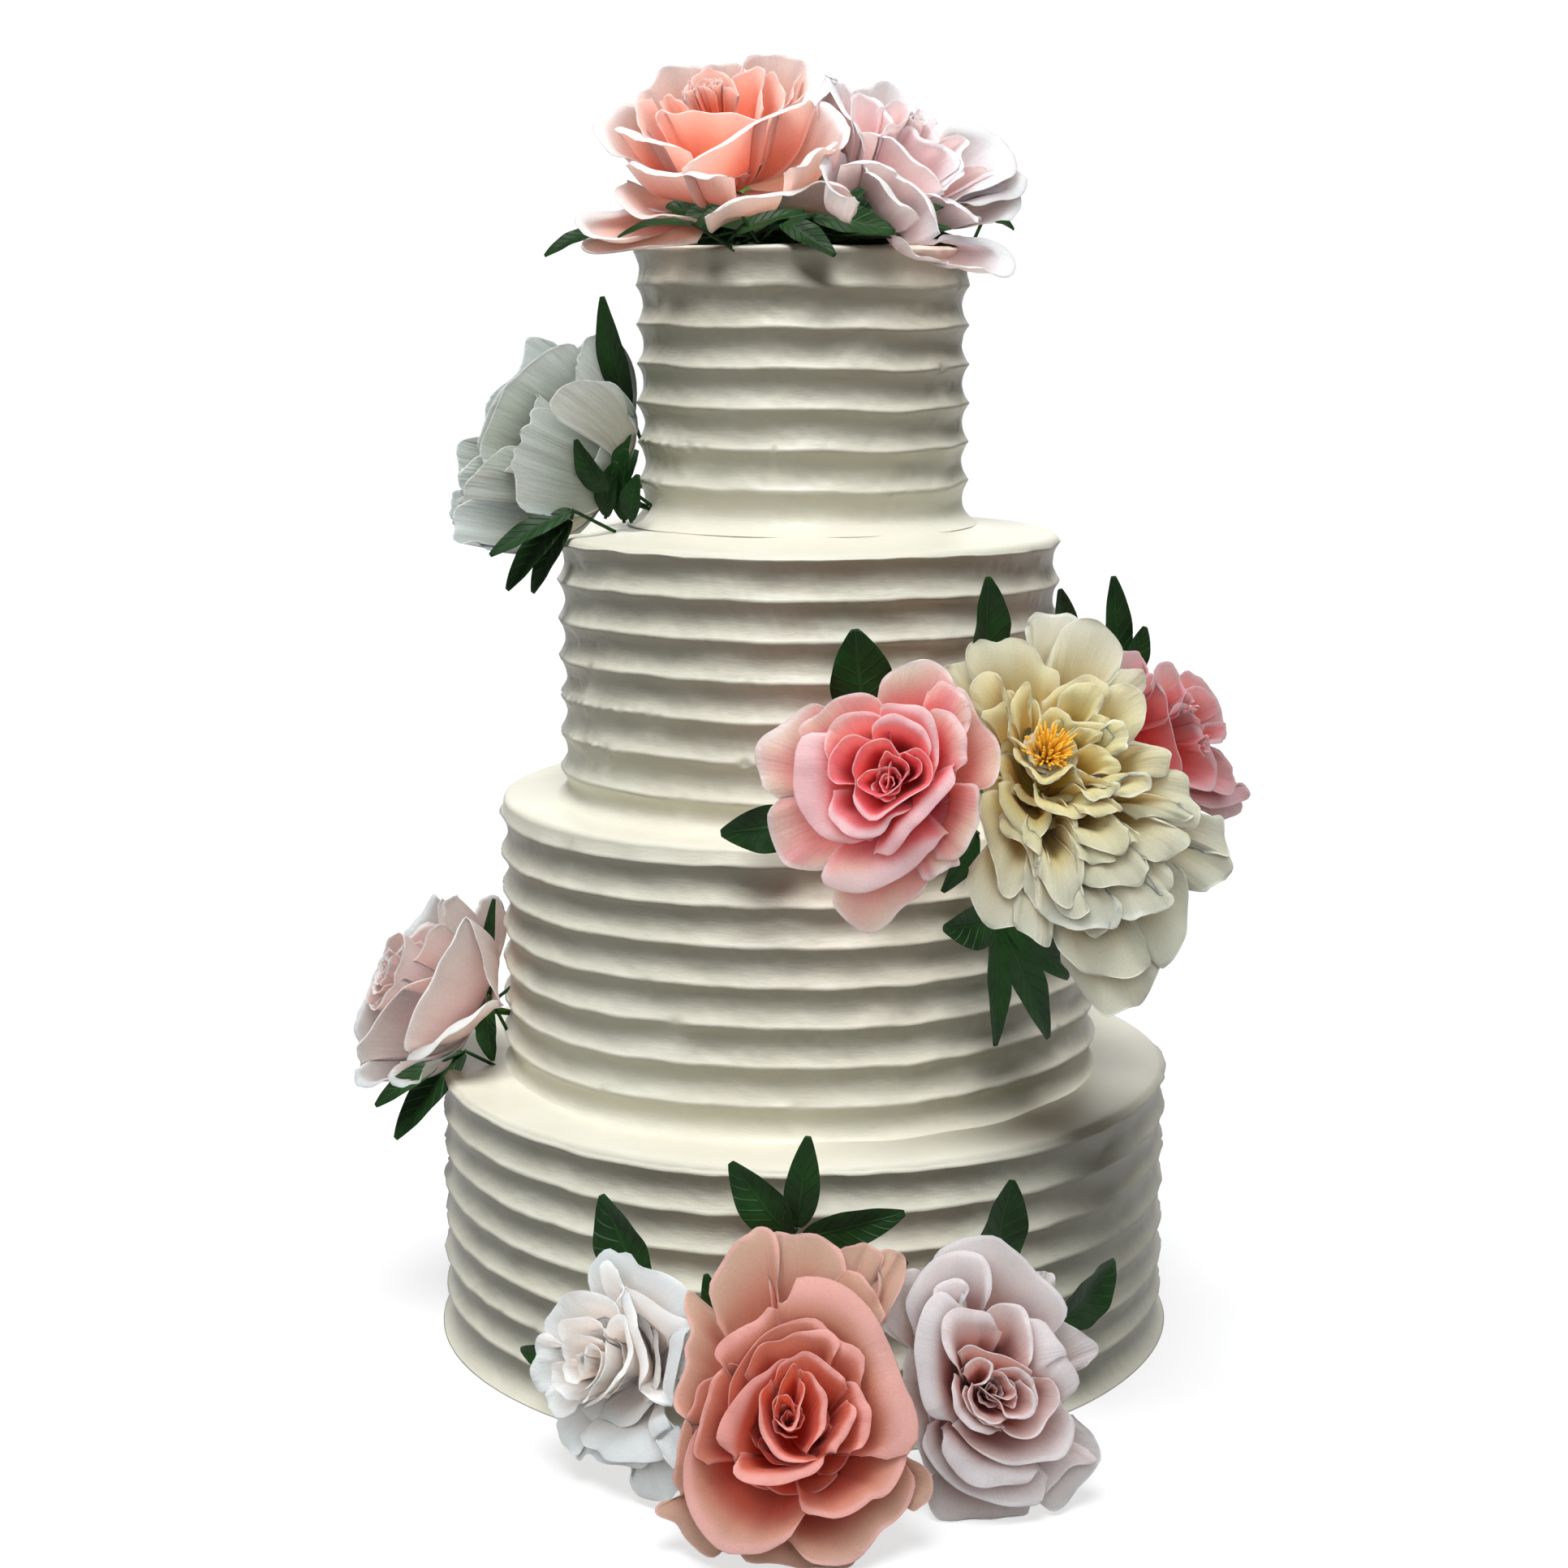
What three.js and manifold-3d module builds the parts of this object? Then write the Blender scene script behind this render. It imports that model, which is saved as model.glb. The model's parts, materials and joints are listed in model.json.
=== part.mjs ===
// A four-tier wedding cake in combed ivory icing, dressed with silk roses, a peony and green leaves.
// Millimetres, +Z up. The origin is the middle of the foot of the lowest tier, the front faces -Y.
import * as THREE from 'three';
import { mergeVertices } from 'three/addons/utils/BufferGeometryUtils.js';
import Module from 'manifold-3d';

const wasm = await Module();
wasm.setup();

const FULL_TURN = 2 * Math.PI;
const DEGREE = Math.PI / 180;
const CLEARANCE = 0.3;       // gap left between a piece and the one it rests on or is cut by

// ---------------------------------------------------------------------------------------------
// Driving dimensions
// ---------------------------------------------------------------------------------------------

// The comb has a tooth every three quarters of an inch and leaves a round groove between two crests.
const TOOTH_PITCH = 19;
const GROOVE_DEPTH = 3.2;
const GROOVE_STEPS = [0, 0.33, 0.67];   // places worked out within one groove, from its upper crest

// radius is at the crests, firstCrest is the height of the highest crest above the cake's foot.
const TIERS = [
  { name: 'tier_1', radius: 187, centreX: 0, base: 0, height: 138, firstCrest: 134.1,
    crests: 7, shoulder: 7, footSpread: 2.6, rise: 0, segments: 26 },
  { name: 'tier_2', radius: 152.5, centreX: -2, base: 138, height: 139, firstCrest: 268.3,
    crests: 7, shoulder: 7, footSpread: 0.4, rise: 0, segments: 24 },
  { name: 'tier_3', radius: 125.8, centreX: 2.5, base: 277, height: 137, firstCrest: 405.5,
    crests: 7, shoulder: 0.9, footSpread: 0.4, rise: 7, segments: 23 },
  { name: 'tier_4', radius: 82.4, centreX: 0, base: 414, height: 134, firstCrest: 528.9,
    crests: 6, shoulder: 1.2, footSpread: 2.4, rise: 1, segments: 20 },
];

const LEAF_THICKNESS = 1.2;
const STALK_RADIUS = 0.9;
const STEM_RADIUS = 1.3;
const CALYX_RADIUS = 7;

const COLOURS = {
  icing: 0xe9e4d6,
  peach: 0xf2b3a0,
  blush: 0xe8d2ce,
  white: 0xe9e8e6,
  pink: 0xe59aa0,
  cream: 0xe9e5cc,
  coral: 0xe9a18c,
  leaf: 0x24511f,
};

// ---------------------------------------------------------------------------------------------
// Closed surfaces and solids
// ---------------------------------------------------------------------------------------------

/** A three.js geometry from flat lists of coordinates and corner numbers. */
function geometryOf(positions, corners) {
  const geometry = new THREE.BufferGeometry();
  geometry.setAttribute('position', new THREE.Float32BufferAttribute(positions, 3));
  geometry.setIndex(corners);
  return geometry;
}

/** A solid, ready to be joined or cut, from a closed geometry. */
function solidOf(geometry) {
  const merged = mergeVertices(geometry, 1e-4);
  const vertProperties = new Float32Array(merged.attributes.position.array);
  const triVerts = new Uint32Array(merged.index.array);
  return new wasm.Manifold(new wasm.Mesh({ numProp: 3, vertProperties, triVerts }));
}

/** The largest body of a solid: this fills any hollow that joining has sealed and drops loose scraps. */
function mainBody(solid) {
  const bodies = solid.decompose();
  return bodies.reduce((best, body) => (body.volume() > best.volume() ? body : best));
}

/** The geometry of a solid. */
function geometryFrom(solid) {
  const mesh = solid.getMesh();
  const geometry = geometryOf(Array.from(mesh.vertProperties), Array.from(mesh.triVerts));
  geometry.computeVertexNormals();
  return geometry;
}

/** A closed round body from rings of equal count, lowest first; each end closes on one middle point. */
function ringBody(rings) {
  const count = rings[0].length;
  const middle = (ring) => {
    const sum = ring.reduce((total, point) => total.add(point), new THREE.Vector3());
    return sum.divideScalar(ring.length);
  };
  const points = [...rings.flat(), middle(rings[0]), middle(rings[rings.length - 1])];
  const lowMiddle = points.length - 2;
  const highMiddle = points.length - 1;
  const highRing = (rings.length - 1) * count;
  const corners = [];
  for (let j = 0; j < count; j += 1) {
    const next = (j + 1) % count;
    corners.push(lowMiddle, next, j);
    corners.push(highMiddle, highRing + j, highRing + next);
    for (let i = 0; i < rings.length - 1; i += 1) {
      const low = i * count;
      const high = low + count;
      corners.push(low + j, low + next, high + next);
      corners.push(low + j, high + next, high + j);
    }
  }
  return geometryOf(points.flatMap((point) => [point.x, point.y, point.z]), corners);
}

/** A thin closed sheet: surface(across, along) gives its middle, both faces are split alike. */
function sheetBody(surface, acrossSteps, alongSteps, thickness) {
  const small = 1e-3;
  const front = [];
  const back = [];
  for (const along of alongSteps) {
    for (const across of acrossSteps) {
      const point = surface(across, along);
      const sideways = surface(across + small, along).sub(surface(across - small, along));
      const onwards = surface(across, along + small).sub(surface(across, along - small));
      const normal = sideways.cross(onwards).normalize();
      front.push(point.clone().addScaledVector(normal, thickness / 2));
      back.push(point.clone().addScaledVector(normal, -thickness / 2));
    }
  }
  const columns = acrossSteps.length;
  const rows = alongSteps.length;
  const offset = front.length;
  const corners = [];
  for (let i = 0; i < rows - 1; i += 1) {
    for (let j = 0; j < columns - 1; j += 1) {
      const a = i * columns + j;
      const b = a + 1;
      const c = a + columns;
      const d = c + 1;
      corners.push(a, b, d, a, d, c);
      corners.push(offset + a, offset + d, offset + b, offset + a, offset + c, offset + d);
    }
  }
  const edge = [];
  for (let j = 0; j < columns - 1; j += 1) edge.push(j);
  for (let i = 0; i < rows - 1; i += 1) edge.push(i * columns + columns - 1);
  for (let j = columns - 1; j > 0; j -= 1) edge.push((rows - 1) * columns + j);
  for (let i = rows - 1; i > 0; i -= 1) edge.push(i * columns);
  edge.forEach((here, place) => {
    const next = edge[(place + 1) % edge.length];
    corners.push(here, offset + here, next, next, offset + here, offset + next);
  });
  const points = [...front, ...back];
  return geometryOf(points.flatMap((point) => [point.x, point.y, point.z]), corners);
}

// ---------------------------------------------------------------------------------------------
// Tiers: a round cake, iced and drawn round once with a comb, never quite level or round
// ---------------------------------------------------------------------------------------------

/** How far the crests wander up and down round a tier. */
function crestWander(angle, index) {
  return 0.8 * Math.sin(2 * angle + 1.7 * index) + 0.5 * Math.sin(5 * angle + 2.3 * index);
}

/** How far the icing's surface stands in or out of round. */
function wallWander(angle, z, index) {
  return 0.5 * Math.sin(3 * angle + index) + 0.35 * Math.sin(7 * angle + z / 23 + 2 * index);
}

/** Radius and height down one side of a tier, lowest first, without the wandering. */
function tierProfile(tier) {
  const top = tier.base + tier.height;
  const profile = [];
  profile.push([tier.radius + tier.footSpread, tier.base, 0]);
  const lastCrest = tier.firstCrest - (tier.crests - 1) * TOOTH_PITCH;
  const footTop = (tier.base + lastCrest) / 2;
  profile.push([tier.radius - GROOVE_DEPTH * 0.75, footTop, 1]);
  for (let crest = tier.crests - 1; crest >= 0; crest -= 1) {
    const steps = crest === tier.crests - 1 ? [0] : [...GROOVE_STEPS].reverse();
    for (const step of steps) {
      const hollow = GROOVE_DEPTH * (1 - (2 * step - 1) ** 2);
      profile.push([tier.radius - hollow, tier.firstCrest - (crest + step) * TOOTH_PITCH, 1]);
    }
  }
  const brim = top - tier.rise;
  if (tier.shoulder > 2) {
    profile.push([tier.radius - 0.25 * tier.shoulder, brim - 0.2 * tier.shoulder, 0.5]);
    profile.push([tier.radius - tier.shoulder, brim, 0]);
  } else if (tier.name === 'tier_4') {
    profile.push([tier.radius - GROOVE_DEPTH * 0.6, (tier.firstCrest + brim) / 2, 1]);
    profile.push([tier.radius + 1.5, brim - 1, 0.5]);
    profile.push([tier.radius - 3, brim + tier.rise, 0]);
  } else {
    profile.push([tier.radius - tier.shoulder, brim, 0.5]);
    profile.push([tier.radius * 0.6, top, 0]);
  }
  return profile;
}

/** One tier as a solid; grow widens it, to cut what must stay clear of it. */
function tierSolid(tier, grow = 0) {
  const index = TIERS.indexOf(tier) + 1;
  const profile = tierProfile(tier);
  const rings = profile.map(([radius, z, loose], place) => {
    const end = place === 0 ? -grow : place === profile.length - 1 ? grow : 0;
    return Array.from({ length: tier.segments }, (_, j) => {
      const angle = (FULL_TURN * j) / tier.segments;
      const reach = radius + grow + wallWander(angle, z, index);
      const lift = loose * crestWander(angle, index);
      return new THREE.Vector3(
        tier.centreX + reach * Math.cos(angle), reach * Math.sin(angle), z + lift + end);
    });
  });
  return solidOf(ringBody(rings));
}

// ---------------------------------------------------------------------------------------------
// Flowers: nested cups of thin silk petals round a bud, on a calyx and a stem
// ---------------------------------------------------------------------------------------------

// A cup of petals: how many, its rim's radius and its height above the bud's tip, the angle of the
// first petal (counted from the flower's right towards its top), the width of the lip that is rolled
// back, and how deep the gap on its inner side goes. A leaning cup reaches further towards one side,
// and its rim stands higher there.
const cup = (count, radius, height, first, lip = 0, gap = 9, lean = {}) => (
  { count, radius, height, first, lip, gap, lean });

/** The nested cups of a half-open rose, outermost first, whose bud's tip is the highest point. */
function roseCups(size, first, low = 0.3, lean = {}) {
  return [
    cup(5, size, -low * size, first + 65, 0.09 * size, 6, lean),
    cup(4, 0.7 * size, -0.08 * size, first + 20, 0.05 * size, 9),
    cup(3, 0.44 * size, 0.01 * size, first + 50, 0, 9),
    cup(3, 0.22 * size, 0.01 * size, first, 0, 6),
  ];
}

// heart is the bud's tip, facing the direction that it looks in, depth the way down to the calyx,
// oval how much taller than wide the flower is, belly how full its outside is half-way down, and
// lobes how deep the notches between its petals are.
const FLOWERS = [
  { name: 'rose_coral', colour: 'coral', tier: 0, heart: [-7, -283, 62], facing: [0, -0.79, 0.61],
    depth: 50, oval: 0.1, cups: [
      cup(5, 57, -16, 52, 2.5, 5, { towards: 90, by: 0.28, lift: 9 }), ...roseCups(48, 20, 0.2)] },
  { name: 'rose_blush_right', colour: 'blush', tier: 0, heart: [81, -252, 60],
    facing: [0.12, -0.88, 0.45], depth: 46, oval: 0.09, cups: [
      cup(5, 48, -20, 54, 4, 5, { towards: 80, by: 0.12 }), ...roseCups(40, 60)] },
  { name: 'rose_white_left', colour: 'white', tier: 0, heart: [-101, -225, 60],
    facing: [-0.6, -0.72, 0.32], depth: 46, cups: [cup(4, 46, -22, 45, 3, 5), ...roseCups(39, 0)] },
  { name: 'rose_pink_front', colour: 'pink', tier: 2, heart: [35.5, -200, 317],
    facing: [-0.15, -0.95, 0.2], depth: 46, cups: [
      cup(5, 54, -24, 54, 3, 5, { towards: 225, by: 0.1 }), ...roseCups(45, 15)] },
  { name: 'peony', colour: 'cream', tier: 2, heart: [108, -167, 326], facing: [0.03, -0.82, 0.57],
    depth: 48, lobes: 0.16, cups: [
      cup(6, 64, -20, 20, 5, 4, { towards: 302, by: 0.45, lift: -13 }),
      cup(6, 61, 4, 0, 5, 11, { towards: 318, by: 0.13, lift: -9 }),
      cup(6, 40, 5, 25, 3, 11, { towards: 325, by: 0.1 }), cup(5, 19, 1, 50, 0, 9)] },
  { name: 'rose_pink_right', colour: 'pink', tier: 2, heart: [189, -92, 315],
    facing: [0.78, -0.6, 0.12], depth: 44, cups: [
      cup(4, 46, -20, 45, 4, 5, { towards: 310, by: 0.25 }), ...roseCups(37, 30)] },
  { name: 'rose_peach_top', colour: 'peach', tier: 3, heart: [-42, -45, 621],
    facing: [-0.1, -0.5, 0.85], depth: 54, cups: [
      cup(5, 57, -44, 18, 6, 4), cup(5, 52, -17, 54, 5, 8, { towards: 90, lift: 8 }),
      ...roseCups(41, 30).slice(1), cup(3, 6, -1, 0, 0, 4)] },
  { name: 'rose_blush_top', colour: 'blush', tier: 3, heart: [54, -31, 606],
    facing: [0.45, -0.4, 0.8], depth: 46, cups: [
      cup(5, 55, -22, 40, 5, 5, { towards: 340, by: 0.14 }),
      ...roseCups(46, 10, 0.22, { towards: 90, lift: 6 })] },
  { name: 'flower_white_side', colour: 'white', tier: 3, heart: [-140, -22, 457],
    facing: [-0.88, -0.25, 0.4], depth: 56, belly: 0.95, cups: [
      cup(5, 50, 10, 60, 2, 18), cup(4, 34, 4, 30, 0, 14), cup(3, 18, -2, 0, 0, 8)] },
  { name: 'rose_blush_side', colour: 'blush', tier: 1, heart: [-213, -24, 187],
    facing: [-0.86, -0.28, 0.42], depth: 56, belly: 0.85, cups: [
      cup(4, 46, -16, 0, 4, 5), ...roseCups(38, 40)] },
];
const FLOWER_SIDES = 15;
const PETAL_GAP = 3;         // least room between one cup's rim and the next one's lip
const PETAL_FALL = 14;       // how far the outermost petals hang below their rim at least

/** Radius and height of a cup's rim at one angle in degrees: round petals that lap like shingles. */
function rimAt(flower, petals, turn) {
  const place = ((turn - petals.first) / 360) * petals.count + 0.5;
  const number = Math.floor(place);
  const across = 2 * (place - number) - 1;
  const whole = ((number % petals.count) + petals.count) % petals.count;
  const uneven = Math.sin(12.9 * (whole + 1) + 7.7 * petals.count + petals.radius);
  const notch = Math.abs(across) ** 3;
  const { towards = 90, by = 0, lift = 0 } = petals.lean;
  const { lobes = 0.1 } = flower;
  const side = Math.cos((turn - towards) * DEGREE);
  const oval = (flower.oval ?? 0) * Math.cos(2 * (turn - 90) * DEGREE);
  return {
    radius: petals.radius * (1 + 0.05 * uneven - lobes * notch + 0.05 * across) * (1 + by * side) * (1 + oval),
    height: petals.height + 1.5 * uneven - 5 * notch * Math.min(1, petals.radius / 20) + lift * side,
    lip: petals.lip * (1 - notch),
  };
}

/** Radius and height from a flower's calyx, up its outside and in over each cup to the bud. */
function flowerOutline(flower, turn) {
  const { depth, belly = 0.75 } = flower;
  const rims = flower.cups.map((petals) => rimAt(flower, petals, turn));
  for (let place = rims.length - 2; place >= 0; place -= 1) {
    const inner = rims[place + 1];
    rims[place].radius = Math.max(rims[place].radius, inner.radius + inner.lip + PETAL_GAP);
  }
  const outer = rims[0];
  const bellyHeight = Math.min(0.45 * outer.height - 0.55 * depth, outer.height - PETAL_FALL);
  const budRadius = 0.35 * flower.cups[flower.cups.length - 1].radius;
  const outline = [[CALYX_RADIUS, -depth], [belly * outer.radius, bellyHeight]];
  rims.forEach((rim, place) => {
    const next = rims[place + 1] ?? { radius: budRadius, height: 0 };
    const valley = Math.min(rim.height, next.height) - flower.cups[place].gap;
    outline.push([rim.radius + rim.lip, rim.height - 1.5 - 0.6 * rim.lip]);
    outline.push([rim.radius - 1.5, rim.height]);
    outline.push([0.3 * rim.radius + 0.7 * next.radius, valley]);
  });
  outline.push([budRadius, 0]);
  return outline;
}

/** An outline of radii and heights moved outwards, square to itself. */
function widerOutline(outline, grow) {
  return outline.map(([radius, z], place) => {
    const [lastRadius, lastZ] = outline[place - 1] ?? [0, z];
    const [nextRadius, nextZ] = outline[place + 1] ?? [0, z];
    const before = new THREE.Vector2(z - lastZ, lastRadius - radius).normalize();
    const after = new THREE.Vector2(nextZ - z, radius - nextRadius).normalize();
    const normal = before.clone().add(after).normalize();
    const reach = grow / Math.max(normal.dot(before), 0.4);
    return [radius + reach * normal.x, z + reach * normal.y];
  });
}

/** Where a stem goes into the cake: the nearest place on its tier, a little way under the icing. */
function stemFoot(point, tier) {
  const sunk = 3;
  const top = tier.base + tier.height;
  const across = new THREE.Vector3(point.x - tier.centreX, point.y, 0);
  if (point.z > top && across.length() < tier.radius) {
    return new THREE.Vector3(point.x, point.y, top - sunk);
  }
  across.clampLength(0, tier.radius - GROOVE_DEPTH - sunk);
  const height = THREE.MathUtils.clamp(point.z - 4, tier.base + 6, top - sunk);
  return new THREE.Vector3(tier.centreX + across.x, across.y, height);
}

/** A whole flower as one solid in its own frame: bud's tip at the origin, facing +Z. */
function flowerSolid(flower, grow = 0) {
  const turns = Array.from({ length: FLOWER_SIDES }, (_, j) => (360 * j) / FLOWER_SIDES);
  const lines = turns.map((turn) => widerOutline(flowerOutline(flower, turn), grow));
  const rings = lines[0].map((_, place) => turns.map((turn, j) => {
    const [radius, z] = lines[j][place];
    return new THREE.Vector3(radius * Math.cos(turn * DEGREE), radius * Math.sin(turn * DEGREE), z);
  }));
  const matrix = flowerMatrix(flower);
  const calyx = new THREE.Vector3(0, 0, -flower.depth);
  const foot = stemFoot(calyx.clone().applyMatrix4(matrix), TIERS[flower.tier]);
  foot.applyMatrix4(matrix.clone().invert());
  return solidOf(ringBody(rings)).add(tubeSolid(calyx.setZ(2 - flower.depth), foot, STEM_RADIUS + grow));
}

/** The place of a flower: its frame's X to the right and Y upwards for one who looks at its face. */
function flowerMatrix(flower) {
  const axis = new THREE.Vector3(...flower.facing).normalize();
  const right = new THREE.Vector3(0, 0, 1).cross(axis).normalize();
  const upward = axis.clone().cross(right);
  const matrix = new THREE.Matrix4().makeBasis(right, upward, axis);
  return matrix.setPosition(...flower.heart);
}

/** A straight five-sided stem between two points. */
function tubeSolid(from, to, radius) {
  const sides = 5;
  const axis = to.clone().sub(from).normalize();
  const helper = Math.abs(axis.z) > 0.9 ? new THREE.Vector3(1, 0, 0) : new THREE.Vector3(0, 0, 1);
  const right = helper.cross(axis).normalize();
  const upward = axis.clone().cross(right);
  const rings = [from, to].map((middle) => Array.from({ length: sides }, (_, j) => {
    const angle = (FULL_TURN * j) / sides;
    return middle.clone().addScaledVector(right, radius * Math.cos(angle))
      .addScaledVector(upward, radius * Math.sin(angle));
  }));
  return solidOf(ringBody(rings));
}

// ---------------------------------------------------------------------------------------------
// Leaves: pointed, folded a little along the rib, wavy, singly or a few on one stem
// ---------------------------------------------------------------------------------------------

// A leaf runs from its stalk to its tip; width is its widest, bend how far its middle bows outwards.
const leaf = (from, to, width, bend = 2) => (
  { from: new THREE.Vector3(...from), to: new THREE.Vector3(...to), width, bend });

const OUTWARDS = null;       // a leaf's upper face looks away from the cake's axis
const SKYWARDS = [0, -0.6, 0.8];
const FRONTWARDS = [0.3, -0.9, 0.2];

const LEAF_STEPS = [-1, 0.02, 0.33, 0.68, 0.985];      // places worked out along stalk and leaf

const SPRIGS = [
  { name: 'leaf_foot_left', tier: 0, face: OUTWARDS, leaves: [leaf([-72, -188, 80], [-93, -178, 123], 26)] },
  { name: 'leaf_foot_far_left', tier: 0, face: OUTWARDS,
    leaves: [leaf([-118, -160, 37], [-134, -153, 37], 10)] },
  { name: 'sprig_foot_middle', tier: 0, face: OUTWARDS, leaves: [
    leaf([-7, -200, 110], [-34, -198, 145], 21), leaf([-4, -200, 114], [1, -203, 159], 16),
    leaf([-2, -200, 110], [45, -198, 121], 18)] },
  { name: 'leaf_foot_inner', tier: 0, face: OUTWARDS, leaves: [leaf([-36, -196, 62], [-45, -197, 92], 12)] },
  { name: 'leaf_foot_inner_right', tier: 0, face: OUTWARDS,
    leaves: [leaf([30, -196, 88], [46, -195, 97], 9)] },
  { name: 'leaf_foot_right', tier: 0, face: OUTWARDS, leaves: [leaf([82, -179, 84], [94, -178, 130], 26)] },
  { name: 'leaf_foot_far_right', tier: 0, face: OUTWARDS,
    leaves: [leaf([118, -160, 52], [147, -138, 76], 27)] },
  { name: 'leaf_front_top', tier: 2, face: OUTWARDS, leaves: [leaf([26, -136, 334], [22, -139, 377], 30)] },
  { name: 'leaf_front_left', tier: 2, face: OUTWARDS, leaves: [leaf([0, -158, 291], [-39, -158, 286], 22)] },
  { name: 'leaf_front_low', tier: 2, face: OUTWARDS, leaves: [leaf([78, -146, 284], [62, -152, 257], 12)] },
  { name: 'leaf_peony_top', tier: 2, face: OUTWARDS, leaves: [leaf([82, -110, 348], [84, -112, 398], 24)] },
  { name: 'leaf_peony_back', tier: 2, face: FRONTWARDS, leaves: [leaf([128, -40, 350], [123, -58, 386], 14)] },
  { name: 'sprig_right', tier: 2, face: FRONTWARDS, leaves: [
    leaf([156, -24, 335], [153, -24, 389], 16), leaf([159, -26, 335], [169, -28, 364], 14)] },
  { name: 'sprig_hanging', tier: 1, face: OUTWARDS, leaves: [
    leaf([88, -141, 241], [62, -158, 242], 22), leaf([87, -143, 240], [88, -146, 182], 13),
    leaf([89, -141, 240], [115, -126, 180], 18), leaf([91, -139, 242], [125, -116, 207], 16)] },
  { name: 'leaf_side_tall', tier: 3, face: [-0.75, -0.65, 0.1],
    leaves: [leaf([-86, -14, 470], [-98, -25, 525], 15, 4)] },
  { name: 'leaf_side_calyx', tier: 3, face: [-0.5, -0.85, 0.1],
    leaves: [leaf([-95, -36, 428], [-110, -48, 457], 14)] },
  { name: 'sprig_side_low', tier: 2, face: [-0.3, -0.8, 0.5], leaves: [
    leaf([-112, -43, 422], [-152, -56, 401], 13), leaf([-115, -44, 420], [-145, -46, 383], 15),
    leaf([-113, -42, 418], [-133, -40, 381], 13)] },
  { name: 'leaf_side_small', tier: 3, face: [-0.5, -0.85, 0.1],
    leaves: [leaf([-91, -34, 436], [-84, -30, 463], 9)] },
  { name: 'leaf_side_back', tier: 3, face: [-0.4, -0.9, 0.1],
    leaves: [leaf([-93, -26, 430], [-82, -18, 450], 12)] },
  { name: 'leaf_low_up', tier: 1, face: [-0.5, -0.85, 0.1], leaves: [leaf([-160, -26, 174], [-156, -28, 226], 9)] },
  { name: 'leaf_low_down', tier: 1, face: [-0.5, -0.85, 0.1],
    leaves: [leaf([-160, -28, 170], [-158, -32, 141], 14)] },
  { name: 'sprig_low', tier: 0, face: [-0.4, -0.8, 0.45], leaves: [
    leaf([-172, -30, 146], [-208, -40, 102], 19), leaf([-185, -36, 142], [-217, -44, 121], 12)] },
  { name: 'leaf_top_far_left', tier: 3, face: SKYWARDS, leaves: [leaf([-96, -20, 556], [-126, -24, 543], 11)] },
  { name: 'leaf_top_left', tier: 3, face: SKYWARDS, leaves: [leaf([-51, -72, 557], [-88, -66, 551], 7, 4)] },
  { name: 'leaf_top_small', tier: 3, face: SKYWARDS, leaves: [leaf([-30, -76, 562], [-51, -78, 556], 11)] },
  { name: 'leaf_top_middle', tier: 3, face: SKYWARDS, leaves: [leaf([-33, -76, 552], [0, -72, 563], 10)] },
  { name: 'sprig_top_front', tier: 3, face: [0.1, -0.8, 0.6], leaves: [
    leaf([-12, -76, 558], [14, -90, 542], 13), leaf([3, -74, 560], [42, -78, 553], 16)] },
  { name: 'leaf_top_right', tier: 3, face: SKYWARDS, leaves: [leaf([88, -6, 562], [103, -6, 556], 8)] },
  { name: 'leaf_top_back', tier: 3, face: SKYWARDS, leaves: [leaf([-70, 10, 560], [-88, 20, 567], 9)] },
];

/** A point of a leaf, across -1..1, along 0..1 from stalk to tip, and along -1..0 on the stalk. */
function leafPoint({ from, to, width, bend }, foot, face, grow, across, along) {
  const run = to.clone().sub(from);
  const middle = from.clone().addScaledVector(run, 0.5);
  const outward = face ? new THREE.Vector3(...face) : new THREE.Vector3(middle.x, middle.y, 0);
  const sideways = run.clone().cross(outward).normalize();
  const stalkRadius = STALK_RADIUS + grow;
  if (along < 0) {
    return from.clone().lerp(foot, -along).addScaledVector(sideways, stalkRadius * across);
  }
  const normal = sideways.clone().cross(run).normalize();
  const breadth = Math.sin(Math.PI * along ** 0.8) ** 0.85;
  const fold = 0.16 * width * Math.abs(across) * breadth;
  const wave = 0.04 * width * Math.sin(7 * along + 2 * across) * breadth;
  return from.clone().addScaledVector(run, along * (1 + grow / run.length()))
    .addScaledVector(sideways, (0.5 * width * breadth + stalkRadius * (1 - breadth) + grow * breadth) * across)
    .addScaledVector(normal, bend * Math.sin(Math.PI * along) + fold + wave);
}

/** One sprig as a solid: its first leaf's stalk enters the cake, and the others start from that leaf. */
function sprigSolid({ tier, leaves, face }, grow = 0) {
  const node = leaves[0].from;
  const foot = stemFoot(node.clone().lerp(leaves[0].to, -0.5), TIERS[tier]);
  const blades = leaves.map((one, place) => solidOf(sheetBody(
    (across, along) => leafPoint(one, place ? node : foot, face, grow, across, along),
    [-1, 0, 1], LEAF_STEPS, LEAF_THICKNESS + 2 * grow)));
  return blades.reduce((whole, blade) => whole.add(blade));
}

// ---------------------------------------------------------------------------------------------
// The cake: the tiers stand on each other, and each piece is cut clear of those before it
// ---------------------------------------------------------------------------------------------

/** A named mesh with a plain finish. */
function namedMesh(name, geometry, colour, roughness) {
  const material = new THREE.MeshStandardMaterial({ color: COLOURS[colour], roughness, metalness: 0 });
  const mesh = new THREE.Mesh(geometry, material);
  mesh.name = name;
  return mesh;
}

/** What is left of a solid outside all obstacles, in a frame placed by matrix. */
function cutClear(solid, obstacles, matrix) {
  const inverse = matrix.clone().invert();
  return obstacles.reduce((rest, obstacle) => {
    const local = obstacle.transform(inverse.elements);
    return rest.intersect(local).isEmpty() ? rest : rest.subtract(local);
  }, solid);
}

const cake = new THREE.Group();
const obstacles = [];

for (const tier of TIERS) {
  cake.add(namedMesh(tier.name, geometryFrom(tierSolid(tier)), 'icing', 0.55));
  obstacles.push(tierSolid(tier, CLEARANCE));
}

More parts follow.
